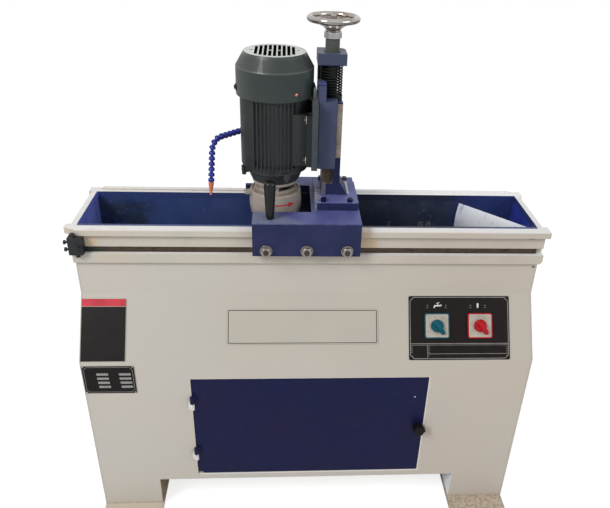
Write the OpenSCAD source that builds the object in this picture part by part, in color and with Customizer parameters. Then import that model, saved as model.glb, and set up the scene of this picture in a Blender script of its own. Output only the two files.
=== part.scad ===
/* [Cabinet] */
// Width over the side panels
cab_w = 1080; // [1000:1:1200]
// Depth of the cabinet at the floor
base_d = 322; // [310:1:360]
// Height of the machined table edge above the floor
table_h = 788; // [760:1:860]
// Height of the control band's upper edge
band_top = 620; // [600:1:635]
// Height of the control band's lower edge
band_low = 485; // [470:1:500]
// How far the lower front stands ahead of the upper front
band_run = 92; // [80:1:100]
// Height of the cabinet's lower edge above the floor
leg_h = 96; // [80:1:110]
// Width of each leg seen from the front
leg_w = 150; // [120:1:180]
// Depth of each leg seen from the side
leg_d = 90; // [70:1:110]
// Thickness of the sheet steel
sheet_t = 3; // [2:0.5:4]
// Thickness of the foot plates
foot_t = 8; // [6:1:12]
// How far the front foot plates reach ahead of the legs
toe_d = 48; // [30:1:60]
// Diameter of the anchor hole in each foot plate
anchor_d = 14; // [10:1:18]
// Distance of the anchor holes from the outer cabinet faces
anchor_inset = 42; // [38:1:50]

/* [Door] */
// Width of the service door
door_w = 576; // [480:1:620]
// Height of the service door
door_h = 313; // [260:1:330]
// Height of the door's lower edge above the floor
door_z = 118; // [116:1:140]
// Offset of the door's centre from the cabinet's centre
door_x = 1; // [-20:1:20]
// Gap between the door and its frame
door_gap = 2; // [1.5:0.5:4]
// Depth of the folded edge round the door and its frame
fold_d = 8; // [6:1:12]
// Outer diameter of the hinge knuckles
knuckle_d = 10.5; // [9:0.5:16]
// Length of one hinge, both knuckles together
hinge_l = 38; // [34:1:60]
// Diameter of the hinge pin
hinge_pin_d = 5; // [4:0.5:6]

/* [Guide beam and tub] */
// Length of the machined rim at the front
beam_l = 1110; // [1040:1:1240]
// Depth of the front rim from front to back
rim_d = 32; // [28:1:40]
// Thickness of the rim plate
rim_t = 15; // [12:1:18]
// Height of the recessed web under the rim
web_h = 31; // [29:0.5:36]
// How far the web is set back behind the rim
web_set = 10; // [8:0.5:12]
// Height of the guide slot
slot_h = 13.5; // [10:0.5:16]
// Depth of the guide slot from the beam's front
slot_d = 18; // [15:0.5:20]
// Height of the lower flange of the beam
flange_h = 23.5; // [20:0.5:30]
// How far the beam stands ahead of the upper front
beam_proud = 8; // [4:1:12]
// How far the rear rim stands out past the side panels
rim_over = 10; // [6:1:14]
// How far the side rims stand out past the side panels
side_over = 3; // [1:1:8]
// Width of the side rims
side_rim_w = 13; // [10:1:20]
// Length of the bevel at the beam's front left corner
end_bevel = 28; // [10:1:40]
// Width of the rear rim from front to back
rear_rim_d = 26; // [24:1:32]
// Width of the raised rail on the rear rim
rail_w = 14; // [10:1:16]
// Height of the raised rail on the rear rim
rail_h = 3; // [2:0.5:8]
// Length of the raised rail
rail_l = 1040; // [1000:1:1060]
// Depth of the tub below the table edge
tub_h = 148; // [140:1:160]
// Thickness of the tub walls
tub_t = 4; // [3:0.5:5]
// Bore of the drain pipe under the tub
drain_d = 32; // [20:1:40]

/* [Control band] */
// Width of the switch panel
panel_w = 248; // [225:1:260]
// Height of the switch panel along the slope
panel_h = 154; // [140:1:156]
// Thickness of the switch panel and the blank plates
plate_t = 1.5; // [1:0.1:3]
// Side of the square switch plates
switch_w = 60; // [50:1:70]
// Distance between the two switches
switch_pitch = 106; // [95:0.5:115]
// Diameter of the switch knobs
knob_d = 31; // [28:1:40]
// Reach of the knob's pointer from its axis
pointer_r = 26; // [22:1:27]
// Diameter of the switch shafts
switch_shaft_d = 8; // [6:0.5:10]

/* [Knife clamp] */
// Length of the tilting knife beam
knife_l = 720; // [650:1:740]
// Width of the knife beam
knife_w = 80; // [70:1:84]
// Height of the knife beam
knife_h = 40; // [34:1:42]
// Height of the beam's tilt axis above the tub floor
tilt_h = 48; // [47:0.5:50]
// Diameter of the beam's end journals
journal_d = 26; // [20:1:30]
// Number of clamp screws along the beam
clamp_n = 7; // [5:1:9]

/* [Carriage] */
// Width of the carriage along the beam
carriage_w = 244; // [236:1:270]
// Place of the carriage's centre along the beam
carriage_x = -15; // [-30:1:30]
// Height of the carriage top above the table edge
carriage_rise = 31; // [29:0.5:36]
// Thickness of the carriage plate
carriage_t = 19; // [17:0.5:20]
// How far the skirt stands ahead of the beam
skirt_stand = 25; // [24:1:32]
// Thickness of the skirt
skirt_t = 15; // [12:0.5:16]
// Height of the skirt below the carriage top
skirt_h = 81; // [78:0.5:84]
// Distance between neighbouring skirt bolts
bolt_pitch = 91.5; // [80:0.5:95]
// Diameter of the skirt bolts, which carry the front rollers
axle_d = 12; // [8:0.5:14]
// Outer diameter of the front rollers
roller_d = 41.4; // [36:0.1:42]
// Outer diameter of the rear rollers
rear_roller_d = 22; // [18:0.5:23]
// Height of the push handle
handle_h = 90; // [70:1:120]

/* [Column and slide] */
// Width of the column
column_w = 42; // [40:1:50]
// Depth of the column from front to back
column_d = 67; // [66:1:80]
// Thickness of the column's foot
foot_plate_t = 19; // [15:0.5:24]
// Height of the slide above the column's foot
slide_clear = 76; // [70:1:90]
// Height of the slide's front plate
slide_h = 152; // [140:1:170]
// Thickness of the slide's front plate
slide_t = 30; // [24:1:34]
// How far the slide's side arm rises above its front plate
arm_rise = 37; // [20:1:40]
// Length of the lift spring at rest
spring_l = 70; // [66:1:90]
// Outer diameter of the lift spring
spring_d = 50; // [44:0.5:51]
// Wire diameter of the lift spring
wire_d = 3.8; // [3:0.1:4]
// Number of turns of the lift spring
spring_turns = 11; // [7:1:11]
// Thickness of the top bearing block
block_t = 24; // [18:1:30]
// Thread diameter of the lift screw
screw_d = 18; // [16:0.5:20]
// Width of the slot in the column's face
tongue_slot = 17.5; // [15:0.5:19]
// Diameter of the handwheel
handwheel_d = 113; // [100:1:130]
// Thickness of the handwheel's rim
wheel_rim_d = 13; // [10:0.5:15]
// Diameter of the graduated collar
collar_d = 38; // [33:0.5:42]

/* [Grinding head] */
// Height of the motor axis over its feet
axis_h = 80; // [79:0.5:90]
// Radius over the motor's cooling fins
motor_r = 77; // [74:0.5:78]
// Length of the finned motor body
motor_h = 160; // [140:1:170]
// Number of upright cooling fins on the front and rear of the motor
fin_n = 12; // [8:1:13]
// Thickness of one cooling fin
fin_t = 3; // [2.5:0.1:3.5]
// Radius of the fan cowl
cowl_r = 84.5; // [80:0.5:86]
// Height of the fan cowl
cowl_h = 90; // [84:1:100]
// Radius of the cowl's flat end
cowl_end_r = 66.5; // [60:0.5:70]
// Radius of the wheel guard
guard_r = 61; // [58:0.5:63]
// Height of the wheel guard
guard_h = 57; // [52:1:64]
// Height of the neck between motor and guard
neck_h = 27; // [22:1:32]
// Radius of the cup wheel
cup_r = 50; // [45:0.5:52]
// Height of the cup wheel
cup_h = 34; // [28:1:38]
// Diameter of the motor shaft
shaft_d = 19; // [14:0.5:22]

/* [Coolant hose] */
// Outer diameter of one hose bead
bead_d = 15; // [14:0.2:16]
// Distance between neighbouring bead centres
bead_pitch = 12.8; // [12.4:0.1:13.2]
// Height to which the hose climbs above the carriage
hose_rise = 142; // [130:1:150]

/* [Hidden] */
$fn = 64;
// Gap between pieces that pass without touching
fit = 0.3;
film = 0.15;
seam = 0.05;
// Radial clearance of a shaft in its bore
run_fit = 0.05;
// Overreach of a cut
eps = 1;

// Cabinet faces
y_front = -base_d / 2;
y_rear = base_d / 2;
y_upper = y_front + band_run;
half_w = cab_w / 2;
inner_x = half_w - sheet_t;
band_angle = atan(band_run / (band_top - band_low));
band_len = norm([band_run, band_top - band_low]);
return_w = 22;
shelf_z = leg_h + sheet_t;
toe = 28;
gland_x = half_w - 90;
gland_z = leg_h + 120;
gland_r = 9;

// Front guide beam
beam_y = y_upper - beam_proud;
rim_low = table_h - rim_t;
web_low = rim_low - web_h;
slot_low = web_low - slot_h;
beam_low = slot_low - flange_h;
rim_back = beam_y + rim_d;
web_half = beam_l / 2 - 8;
web_x0 = 5 - web_half;
stop_x0 = web_x0 - 2;
stop_w = 31;

// Tub
tub_x = half_w + side_over - side_rim_w;
tub_y1 = y_rear - rear_rim_d;
tub_z = table_h - tub_h;
tub_mid = (rim_back + tub_y1) / 2;
drain_x = 90 - tub_x;
pipe_t = 3;

// Coolant tank on the cabinet floor
tank_x = -half_w + 45;
tank_w = 300;
tank_d = 240;
tank_h = 250;
tank_t = 3;
floor_z = shelf_z + sheet_t;
pump_x = tank_x + tank_w - 70;
pump_r = 45;

// Service door and its hinges
door_x0 = door_x - door_w / 2;
door_x1 = door_x + door_w / 2;
hinge_x = door_x0 - door_gap / 2;
hinge_y = y_front - knuckle_d / 2 - 0.6;
hinge_z = [door_z + 75 - hinge_l / 2, door_z + door_h - 69 - hinge_l / 2];
leaf_y = y_front - 5;
latch_x = door_x1 - 10;
latch_z = door_z + door_h * 0.495;
latch_r = 4;
cam_y = y_front + sheet_t + fold_d + 1;
corner_cut = 14;

// Switches on the control band
panel_x = half_w - 57 - panel_w / 2;
panel_s = band_len / 2 + 3.5;
switch_x0 = panel_x - 3 - switch_pitch / 2;
switch_x1 = switch_x0 + switch_pitch;
switch_s = panel_s - 5;
escutcheon_t = 5;
switch_body_r = 20;
knob_low = plate_t + escutcheon_t + fit;

// Tilting knife beam in the tub
knife_x = -14;
knife_y = tub_mid - 10;
tilt_z = tub_z + tilt_h;
bearing_t = 18;
journal_gap = 1;
bar_t = 8;
clamp_head = 5;
clamp_r = 4;
clamp_step = (knife_l - 80) / (clamp_n - 1);
clamp_y = knife_y - 6;
function clamp_x(i) = knife_x - knife_l / 2 + 40 + i * clamp_step;

// Carriage
car_x0 = carriage_x - carriage_w / 2;
car_x1 = carriage_x + carriage_w / 2;
car_top = table_h + carriage_rise;
car_low = car_top - carriage_t;
skirt_y = beam_y - skirt_stand;
front_bar_y = beam_y + 38;
rear_bar_y0 = y_rear - 46;
rear_bar_y1 = y_rear + 11;
window_x = car_x1 - 111;
bolt_z = rim_low - fit - roller_d / 2;
roller_y0 = beam_y + 0.8;
roller_y1 = beam_y + web_set - 0.8;
rear_roller_w = 10;
rear_axle_r = 3;
rear_roller_y = y_rear - rail_w / 2;
rear_roller_z = table_h + rail_h + fit + rear_roller_d / 2;
rear_spread = 85;
handle_x = carriage_x - bolt_pitch + 9;
handle_y = beam_y + 2;

// Column, slide and lift screw
column_foot_z = car_top + foot_plate_t;
column_x = car_x1 - 87;
column_y = beam_y + 94;
screw_x = column_x + 16;
screw_y = column_y + spring_d / 2 + 4.5;
slide_z = column_foot_z + slide_clear;
slide_top = slide_z + slide_h;
block_z = slide_top + spring_l;
block_top = block_z + block_t;
slide_x = column_x - 14;
slide_y = column_y - slide_t;
slide_right = column_x + 28;
channel_r = 14.5;
groove_z = column_foot_z + 30;
groove_d = 6;
spring_room = spring_d / 2 + 1.5;
lift_down = 45;
nut_h = slide_h - 50;
seat_t = 12;
head_room_z = slide_top - seat_t - lift_down - 3;
nut_room_z = slide_top - nut_h - lift_down - 3;
guide_tube_r = spring_d / 2 - wire_d - 8;
block_x0 = column_x - 16;
block_x1 = column_x + column_w + 4.5;
journal_r = 7;
sleeve_d = 31;
sleeve_h = 28;
collar_h = 17;
wheel_z = block_top + sleeve_h + collar_h + 22;
hub_d = 24;
foot_x0 = car_x1 - 103;
foot_x1 = car_x1 - 2.5;
foot_y0 = column_y - 47;
foot_y1 = column_y + 107;
foot_bolts = [[foot_x0 + 19, foot_y1 - 12], [foot_x0 + 20, foot_y0 + 10],
              [foot_x1 - 19.5, foot_y0 + 10], [foot_x1 - 23.5, foot_y1 - 16]];
spring_coil_r = (spring_d - wire_d) / 2;
coil_step = 20;
coil_sides = 8;

// Motor and grinding head
motor_face_x = slide_x - 13;
motor_x = motor_face_x - axis_h;
motor_y = beam_y + 112;
body_z = slide_z - 3;
cowl_z = body_z + motor_h;
cowl_cone = 31;
cowl_t = 2;
fin_root = motor_r - 11;
fin_pitch = 8.4;
shaft_r = shaft_d / 2;
foot_gauge = 125;
cowl_screws = [10, 100, 190, 303];
cowl_screw_z = 15;
shield_z = body_z - 35;
neck_z = shield_z - neck_h;
guard_z = neck_z - guard_h;
guard_t = 4;
cup_z = guard_z - 24;
cup_wall = 15;
cup_back = 10;

// Route of the coolant hose, in an upright plane through its foot
hose_x = car_x0 + 9;
hose_y = rear_bar_y0 + 33;
hose_heading = 227;
hose_foot_z = car_top + 12;
rise_bend = 45;
drop_bend = 28;
drop_turn = 84;
hose_reach = 77;
hose_drop = 72;
climb = hose_rise - 12 - rise_bend;
arc_1 = rise_bend * PI / 2;
arc_2 = drop_bend * drop_turn * PI / 180;
drop_at = climb + arc_1 + hose_reach;
hose_len = climb + arc_1 + hose_reach + arc_2 + hose_drop;
bead_n = floor(hose_len / bead_pitch);
ball_r = bead_d / 2 - 1.9;
socket_r = bead_d / 2 - 1.6;
socket_lip = 2.2;
hose_bore = 2.2;

// Paints
WHITE = [0.80, 0.78, 0.72];
BLUE = [0.17, 0.19, 0.42];
NAVY = [0.10, 0.11, 0.30];
BLACK = [0.12, 0.13, 0.13];
STEEL = [0.62, 0.62, 0.60];
CREAM = [0.80, 0.74, 0.66];

// ---------- helpers ----------

// Block between two corners
module slab(low, high) {
    translate(low) cube(high - low);
}

// Outline in the Y-Z plane drawn out along X between two places
module along_x(x0, x1) {
    translate([x0, 0, 0]) rotate([90, 0, 90]) linear_extrude(x1 - x0) children();
}

// Upright cylinder standing at a place
module post(x, y, z, r, h) {
    translate([x, y, z]) cylinder(r = r, h = h);
}

// Cylinder lying along Y, from its front end
module bar_y(x, y, z, r, l) {
    translate([x, y, z]) rotate([-90, 0, 0]) cylinder(r = r, h = l);
}

// Cylinder lying along X, from its left end
module bar_x(x, y, z, r, l) {
    translate([x, y, z]) rotate([0, 90, 0]) cylinder(r = r, h = l);
}

// Upright hexagon prism, measured across flats
module hex(x, y, z, flats, h) {
    translate([x, y, z]) cylinder(d = flats / cos(30), h = h, $fn = 6);
}

// Place on the control band, s down the slope from its upper edge; +Z points outward
module on_band(x, s) {
    translate([x, y_upper - s * sin(band_angle), band_top - s * cos(band_angle)])
        rotate([90 - band_angle, 0, 0])
            children();
}

// Rectangle with rounded corners, centred
module round_rect(w, h, r) {
    square([w - 2 * r, h], center = true);
    square([w, h - 2 * r], center = true);
    for (sx = [-1, 1], sy = [-1, 1])
        translate([sx * (w / 2 - r), sy * (h / 2 - r)])
            circle(r);
}

// ---------- cabinet ----------

// Cross-section of the folded front sheet
module front_section() {
    k = sheet_t * tan(band_angle / 2);
    back = y_front + sheet_t;
    polygon([[y_upper, beam_low], [y_upper, band_top], [y_front, band_low], [y_front, leg_h],
             [y_front + return_w, leg_h], [y_front + return_w, shelf_z], [back, shelf_z],
             [back, band_low - k], [y_upper + sheet_t, band_top - k], [y_upper + sheet_t, beam_low]]);
}

// Front leg with its inner wall, cut like the side panel's toe
module front_leg(side) {
    x_in = side * (half_w - leg_w);
    x_out = side * (inner_x - fit);
    slab([min(x_in, x_out), y_front, foot_t], [max(x_in, x_out), y_front + sheet_t, shelf_z]);
    along_x(x_in - (side < 0 ? sheet_t : 0), x_in + (side < 0 ? 0 : sheet_t))
        polygon([[y_front, foot_t], [y_front + leg_d, foot_t], [y_front + leg_d + toe, leg_h],
                 [y_front + leg_d + toe, shelf_z], [y_front, shelf_z]]);
}

// Folded edge round an opening or a door, open in the middle
module fold(x0, x1, z0, z1, grow) {
    difference() {
        slab([x0 - grow, y_front, z0 - grow], [x1 + grow, y_front + sheet_t + fold_d, z1 + grow]);
        slab([x0, y_front - eps, z0], [x1, y_front + sheet_t + fold_d + eps, z1]);
    }
}

module front_panel() {
    g = door_gap;
    end = inner_x - fit;
    color(WHITE)
        difference() {
            union() {
                along_x(-end, end) front_section();
                for (side = [-1, 1])
                    front_leg(side);
                fold(door_x0 - g, door_x1 + g, door_z - g, door_z + door_h + g, sheet_t);
            }
            slab([door_x0 - g, y_front - eps, door_z - g], [door_x1 + g, y_front + 30, door_z + door_h + g]);
            for (x = [switch_x0, switch_x1])
                on_band(x, switch_s) cylinder(r = switch_body_r + fit, h = 40, center = true);
            bar_y(end - 5, y_upper - eps, beam_low - 12, 3, sheet_t + 2 * eps);
        }
}

// Side sheet: slanted front edge, notch for the beam and a toe cut-out
module side_panel(side) {
    notch_y = rim_back - tub_t + fit;
    color(WHITE)
        along_x(side * half_w - (side > 0 ? sheet_t : 0), side * half_w + (side > 0 ? 0 : sheet_t))
            polygon([[y_front, foot_t], [y_front, band_low], [y_upper, band_top], [y_upper, beam_low],
                     [notch_y, beam_low], [notch_y, rim_low], [y_rear, rim_low], [y_rear, foot_t],
                     [y_rear - leg_d, foot_t], [y_rear - leg_d - toe, leg_h],
                     [y_front + leg_d + toe, leg_h], [y_front + leg_d, foot_t]]);
}

module left_side_panel() {
    side_panel(-1);
}

module right_side_panel() {
    side_panel(1);
}

module rear_panel() {
    end = inner_x - fit;
    leg_x = half_w - leg_w;
    color(WHITE)
        union() {
            difference() {
                slab([-end, y_rear - sheet_t, leg_h], [end, y_rear, rim_low]);
                bar_y(gland_x, y_rear - 10, gland_z, gland_r + fit, 20);
            }
            slab([-end, y_rear - return_w, leg_h], [end, y_rear - sheet_t - seam, shelf_z]);
            for (x = [[-end, -leg_x], [leg_x, end]])
                slab([x[0], y_rear - sheet_t, foot_t], [x[1], y_rear, leg_h - seam]);
        }
}

// Cabinet floor with turned-up ends, lying on the front and rear returns
module base_shelf() {
    end = inner_x - fit;
    front = y_front + sheet_t + fit;
    back = y_rear - sheet_t - fit;
    color(WHITE) {
        slab([-end, front, shelf_z], [end, back, floor_z]);
        for (x = [-end, end - sheet_t])
            slab([x, front, shelf_z], [x + sheet_t, back, floor_z + 24]);
    }
}

// Four plates welded under the legs, drilled for anchors; the front ones reach ahead
module foot_plates() {
    r = anchor_inset;
    long = leg_w + sheet_t - r;
    color(STEEL)
        for (sx = [-1, 1], sy = [-1, 1])
            translate([sx * (half_w - r), sy * (base_d / 2 - r), 0])
                difference() {
                    slab([sx < 0 ? -r : (sy < 0 ? -long : -r), sy < 0 ? -r - toe_d : -r, 0],
                         [sx > 0 ? r : (sy < 0 ? long : r), r, foot_t]);
                    translate([0, 0, -eps]) cylinder(d = anchor_d, h = foot_t + 2 * eps);
                }
}

// ---------- guide beam, rims and tub ----------

module guide_beam() {
    y = beam_y;
    back = rim_back - tub_t;
    color(WHITE) {
        difference() {
            along_x(-beam_l / 2, beam_l / 2)
                polygon([[y + 1.5, table_h], [rim_back, table_h], [rim_back, rim_low],
                         [y, rim_low], [y, table_h - 1.5]]);
            translate([-beam_l / 2, y, rim_low - eps])
                linear_extrude(rim_t + 2 * eps)
                    polygon([[-eps, -eps], [end_bevel, -eps], [end_bevel, 0], [0, end_bevel / 2],
                             [-eps, end_bevel / 2]]);
        }
        difference() {
            along_x(web_x0, web_half)
                polygon([[y + web_set, rim_low], [back, rim_low], [back, beam_low], [y, beam_low],
                         [y, slot_low], [y + slot_d, slot_low], [y + slot_d, web_low],
                         [y + web_set, web_low]]);
            slab([web_half - 6, y, rim_low - 5], [web_half + eps, y + slot_d, rim_low]);
            translate([web_half, y, beam_low])
                rotate([0, 45, 0])
                    cube([8, 2 * slot_d, 8], center = true);
        }
    }
}

// Hardened strip at the bottom of the guide slot
module guide_strip() {
    color([0.33, 0.26, 0.20])
        slab([16 - web_half, beam_y + web_set, slot_low + fit],
             [web_half - 16, beam_y + slot_d, web_low - fit]);
}

// Rear and side rims of the tub, one welded frame
module tub_rim() {
    out = half_w + rim_over;
    color(WHITE) {
        slab([-out, tub_y1, rim_low], [out, y_rear, table_h]);
        for (x = [-tub_x - side_rim_w, tub_x])
            slab([x, rim_back, rim_low], [x + side_rim_w, tub_y1, table_h]);
    }
}

module rear_rail() {
    color(WHITE)
        slab([-rail_l / 2, y_rear - rail_w, table_h], [rail_l / 2, y_rear, table_h + rail_h]);
}

// Open tub under the rims, with a drain in its floor
module tub() {
    t = tub_t;
    color(BLUE)
        union() {
            difference() {
                slab([-tub_x - t, rim_back - t, tub_z - t], [tub_x + t, tub_y1 + t, tub_z]);
                post(drain_x, tub_mid, tub_z - t - eps, drain_d / 2, t + 2 * eps);
            }
            for (y = [rim_back - t, tub_y1])
                slab([-tub_x - t, y, tub_z + seam], [tub_x + t, y + t, rim_low]);
            for (x = [-tub_x - t, tub_x])
                slab([x, rim_back + seam, tub_z + seam], [x + t, tub_y1 - seam, rim_low]);
        }
}

// Flanged pipe from the tub down over the tank
module drain_pipe() {
    top = tub_z - tub_t;
    low = floor_z + tank_h + 20;
    color(STEEL)
        difference() {
            union() {
                post(drain_x, tub_mid, top - 4, drain_d / 2 + 16, 4);
                post(drain_x, tub_mid, low, drain_d / 2 + pipe_t, top - low);
            }
            post(drain_x, tub_mid, low - eps, drain_d / 2, top - low + 2 * eps);
        }
}

// Clamped block that stops the carriage at the left end
module rail_stop() {
    y = beam_y;
    mid = (rim_low + slot_low) / 2;
    color(BLACK)
        difference() {
            union() {
                slab([stop_x0, y - 12, slot_low + 2], [stop_x0 + stop_w, y + web_set, rim_low - fit]);
                for (z = [mid + 9, mid - 9]) {
                    bar_x(stop_x0 - 7, y - 4, z, 2.5, 8);
                    bar_x(stop_x0 - 10, y - 4, z, 5, 4);
                }
                post(stop_x0 + 12, y - 7, rim_low - 1, 5, 11);
                post(stop_x0 + 18, y - 7, slot_low - 4, 5, 8);
                bar_y(stop_x0 + 21, y - 15, mid, 5, 4);
            }
            bar_y(stop_x0 + 21, y - 16, mid, 2.5, 3);
        }
}

// Curved deflector across the rear right corner of the tub
module splash_guard() {
    p0 = [tub_x - 136, tub_y1 - 1.5];
    p1 = [tub_x - 5, rim_back + 47];
    h = 96;
    r = 120;
    turn = atan2(p1.y - p0.y, p1.x - p0.x);
    run = norm(p1 - p0);
    z_mid = table_h - 22 - h / 2;
    color([0.78, 0.78, 0.80])
        intersection() {
            translate([p0.x, p0.y, z_mid])
                rotate([0, 0, turn])
                    translate([0, r - 14, 0])
                        rotate([0, 90, 0])
                            difference() {
                                translate([0, 0, -30]) cylinder(r = r, h = run + 60, $fn = 128);
                                translate([0, 0, -31]) cylinder(r = r - 1.5, h = run + 62, $fn = 128);
                            }
            translate([p0.x, p0.y, z_mid])
                rotate([0, 0, turn])
                    translate([-6, -16, -h / 2])
                        cube([run + 36, 40, h]);
            slab([0, rim_back + fit, tub_z], [tub_x - fit, tub_y1 - fit, table_h]);
        }
}

// ---------- knife clamp ----------

module beam_bearings() {
    first = knife_x - knife_l / 2 - journal_gap - bearing_t;
    last = knife_x + knife_l / 2 + journal_gap;
    color(STEEL)
        for (x = [first, last])
            difference() {
                along_x(x, x + bearing_t)
                    union() {
                        translate([knife_y, tilt_z]) circle(journal_d / 2 + 9);
                        polygon([[knife_y - 34, tub_z], [knife_y + 34, tub_z],
                                 [knife_y + 22, tilt_z], [knife_y - 22, tilt_z]]);
                    }
                bar_x(x - eps, knife_y, tilt_z, journal_d / 2 + run_fit, bearing_t + 2 * eps);
            }
}

// Cross-section of the knife beam round its tilt axis, with two T-slots
module knife_section() {
    w = knife_w / 2;
    h = knife_h / 2;
    difference() {
        polygon([[-w, -h + 8], [-w + 8, -h], [w - 8, -h], [w, -h + 8], [w, h], [-w + 4, h], [-w, h - 4]]);
        for (y = [w * 0.62]) {
            translate([y - 4, h - 12]) square([8, 13]);
            translate([y - 8, h - 14]) square([16, 6]);
        }
    }
}

module knife_beam() {
    x0 = knife_x - knife_l / 2;
    color(STEEL)
        difference() {
            union() {
                translate([0, knife_y, tilt_z]) along_x(x0, x0 + knife_l) knife_section();
                bar_x(x0 - bearing_t - 2 * journal_gap, knife_y, tilt_z, journal_d / 2,
                      knife_l + 2 * bearing_t + 4 * journal_gap);
            }
            clamp_holes(tilt_z + knife_h / 2 - 18, 20);
        }
}

// Row of holes for the clamp screws
module clamp_holes(z, h) {
    for (i = [0 : clamp_n - 1])
        post(clamp_x(i), clamp_y, z, clamp_r + fit, h);
}

module clamp_bar() {
    low = tilt_z + knife_h / 2;
    x0 = knife_x - knife_l / 2 + 10;
    color(STEEL)
        difference() {
            along_x(x0, x0 + knife_l - 20)
                polygon([[clamp_y - 26, low], [clamp_y + 14, low], [clamp_y + 14, low + bar_t],
                         [clamp_y - 14, low + bar_t], [clamp_y - 26, low + 2]]);
            clamp_holes(low - eps, bar_t + 2 * eps);
        }
}

module clamp_screws() {
    top = tilt_z + knife_h / 2 + bar_t;
    color(BLACK)
        for (i = [0 : clamp_n - 1]) {
            hex(clamp_x(i), clamp_y, top, 13, clamp_head);
            post(clamp_x(i), clamp_y, top - bar_t - 14, clamp_r, bar_t + 14);
        }
}

// ---------- coolant ----------

// Tank with a lid over its right half
module coolant_tank() {
    t = tank_t;
    y = -tank_d / 2;
    lid = tank_w * 0.55;
    color([0.45, 0.47, 0.50])
        difference() {
            slab([tank_x, y, floor_z], [tank_x + tank_w, -y, floor_z + tank_h]);
            slab([tank_x + t, y + t, floor_z + t], [tank_x + tank_w - t, -y - t, floor_z + tank_h - t]);
            slab([tank_x + t, y + t, floor_z + t], [tank_x + tank_w - lid, -y - t, floor_z + tank_h + eps]);
            post(pump_x, 0, floor_z + tank_h - t - eps, 30, t + 2 * eps);
        }
}

// Immersion pump standing on the tank lid
module coolant_pump() {
    top = floor_z + tank_h;
    color([0.20, 0.25, 0.36]) {
        post(pump_x, 0, top, pump_r + 10, 6);
        post(pump_x, 0, top + 6, pump_r - 8, 20);
        post(pump_x, 0, top + 26, pump_r, 80);
        post(pump_x, 0, top + 106, pump_r - 4, 14);
        for (a = [0 : 15 : 345])
            translate([pump_x, 0, top + 34])
                rotate([0, 0, a])
                    translate([pump_r - 2, -1, 0])
                        cube([6, 2, 64]);
        post(pump_x, 0, top - 120, 22, 121);
        bar_y(pump_x, -pump_r - 14, top + 16, 8, 30);
    }
}

// Screwed gland where the mains lead enters
module power_gland() {
    color(BLACK)
        difference() {
            union() {
                bar_y(gland_x, y_rear - sheet_t - 10, gland_z, gland_r, 30);
                bar_y(gland_x, y_rear, gland_z, gland_r + 4, 7);
                bar_y(gland_x, y_rear - sheet_t - 7, gland_z, gland_r + 5, 7);
            }
            bar_y(gland_x, y_rear - 20, gland_z, 5, 60);
        }
}

// ---------- control band ----------

module switch_panel() {
    color(BLACK)
        difference() {
            on_band(panel_x, panel_s)
                translate([0, 0, film]) linear_extrude(plate_t - film) round_rect(panel_w, panel_h, 4);
            for (x = [switch_x0, switch_x1])
                on_band(x, switch_s) cylinder(r = switch_body_r + fit, h = 20, center = true);
        }
}

// Bare plates: centre and left on the band, small one on the lower front
module blank_plates() {
    color(WHITE) {
        on_band(-20.5, band_len / 2 - 0.5)
            translate([0, 0, film]) linear_extrude(plate_t) round_rect(361, 84, 3);
        on_band(53.5 - half_w, band_len / 2 + 6)
            translate([0, 0, film]) linear_extrude(plate_t) round_rect(103, 147, 3);
        translate([63 - half_w, y_front, band_low - 50])
            rotate([90, 0, 0])
                linear_extrude(plate_t)
                    round_rect(121, 82, 3);
    }
}

// Rotary switch: square escutcheon outside, body behind the sheet
module rotary_switch(x, tint) {
    color(tint)
        on_band(x, switch_s)
            difference() {
                union() {
                    translate([0, 0, plate_t]) linear_extrude(escutcheon_t) round_rect(switch_w, switch_w, 5);
                    translate([0, 0, -42]) cylinder(r = switch_body_r, h = 42 + plate_t);
                }
                translate([0, 0, -14]) cylinder(r = switch_shaft_d / 2 + run_fit, h = 30);
            }
}

module pump_switch() {
    rotary_switch(switch_x0, CREAM);
}

module motor_switch() {
    rotary_switch(switch_x1, CREAM);
}

// Round knob with a raised grip that runs out into a pointer, and its shaft
module switch_knob(x, tint) {
    r = knob_d / 2;
    tip = pointer_r;
    color(tint)
        on_band(x, switch_s)
            rotate([0, 0, -52]) {
                translate([0, 0, knob_low]) cylinder(r = r, h = 4);
                translate([0, 0, knob_low + 4]) cylinder(r1 = r, r2 = r - 2, h = 4);
                translate([0, 0, knob_low + 2])
                    linear_extrude(7)
                        polygon([[0, 8 - r], [tip - 3, -5], [tip, -2.5], [tip, 2.5], [tip - 3, 5], [0, r - 8]]);
                intersection() {
                    translate([-r, -4.5, knob_low + 7]) cube([r + tip - 2, 9, 9]);
                    translate([2, 0, knob_low - 16]) sphere(r = r + 18);
                }
                translate([0, 0, -12]) cylinder(d = switch_shaft_d, h = knob_low + 13);
            }
}

module pump_knob() {
    switch_knob(switch_x0, [0.10, 0.55, 0.50]);
}

module motor_knob() {
    switch_knob(switch_x1, [0.78, 0.12, 0.12]);
}

// ---------- door ----------

// Knuckle and weld leaf of one hinge half; side -1 is the frame, 1 the door
module hinge_half(z, h, side) {
    r = knuckle_d / 2;
    post(hinge_x, hinge_y, z, r, h);
    slab([hinge_x + (side < 0 ? -11 : 1), leaf_y, z], [hinge_x + (side < 0 ? -1 : 11), y_front, z + h]);
}

module door_hinges() {
    half = hinge_l / 2;
    color(WHITE)
        for (z = hinge_z) {
            hinge_half(z, half - fit, -1);
            post(hinge_x, hinge_y, z, hinge_pin_d / 2, hinge_l - 4);
        }
}

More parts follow.
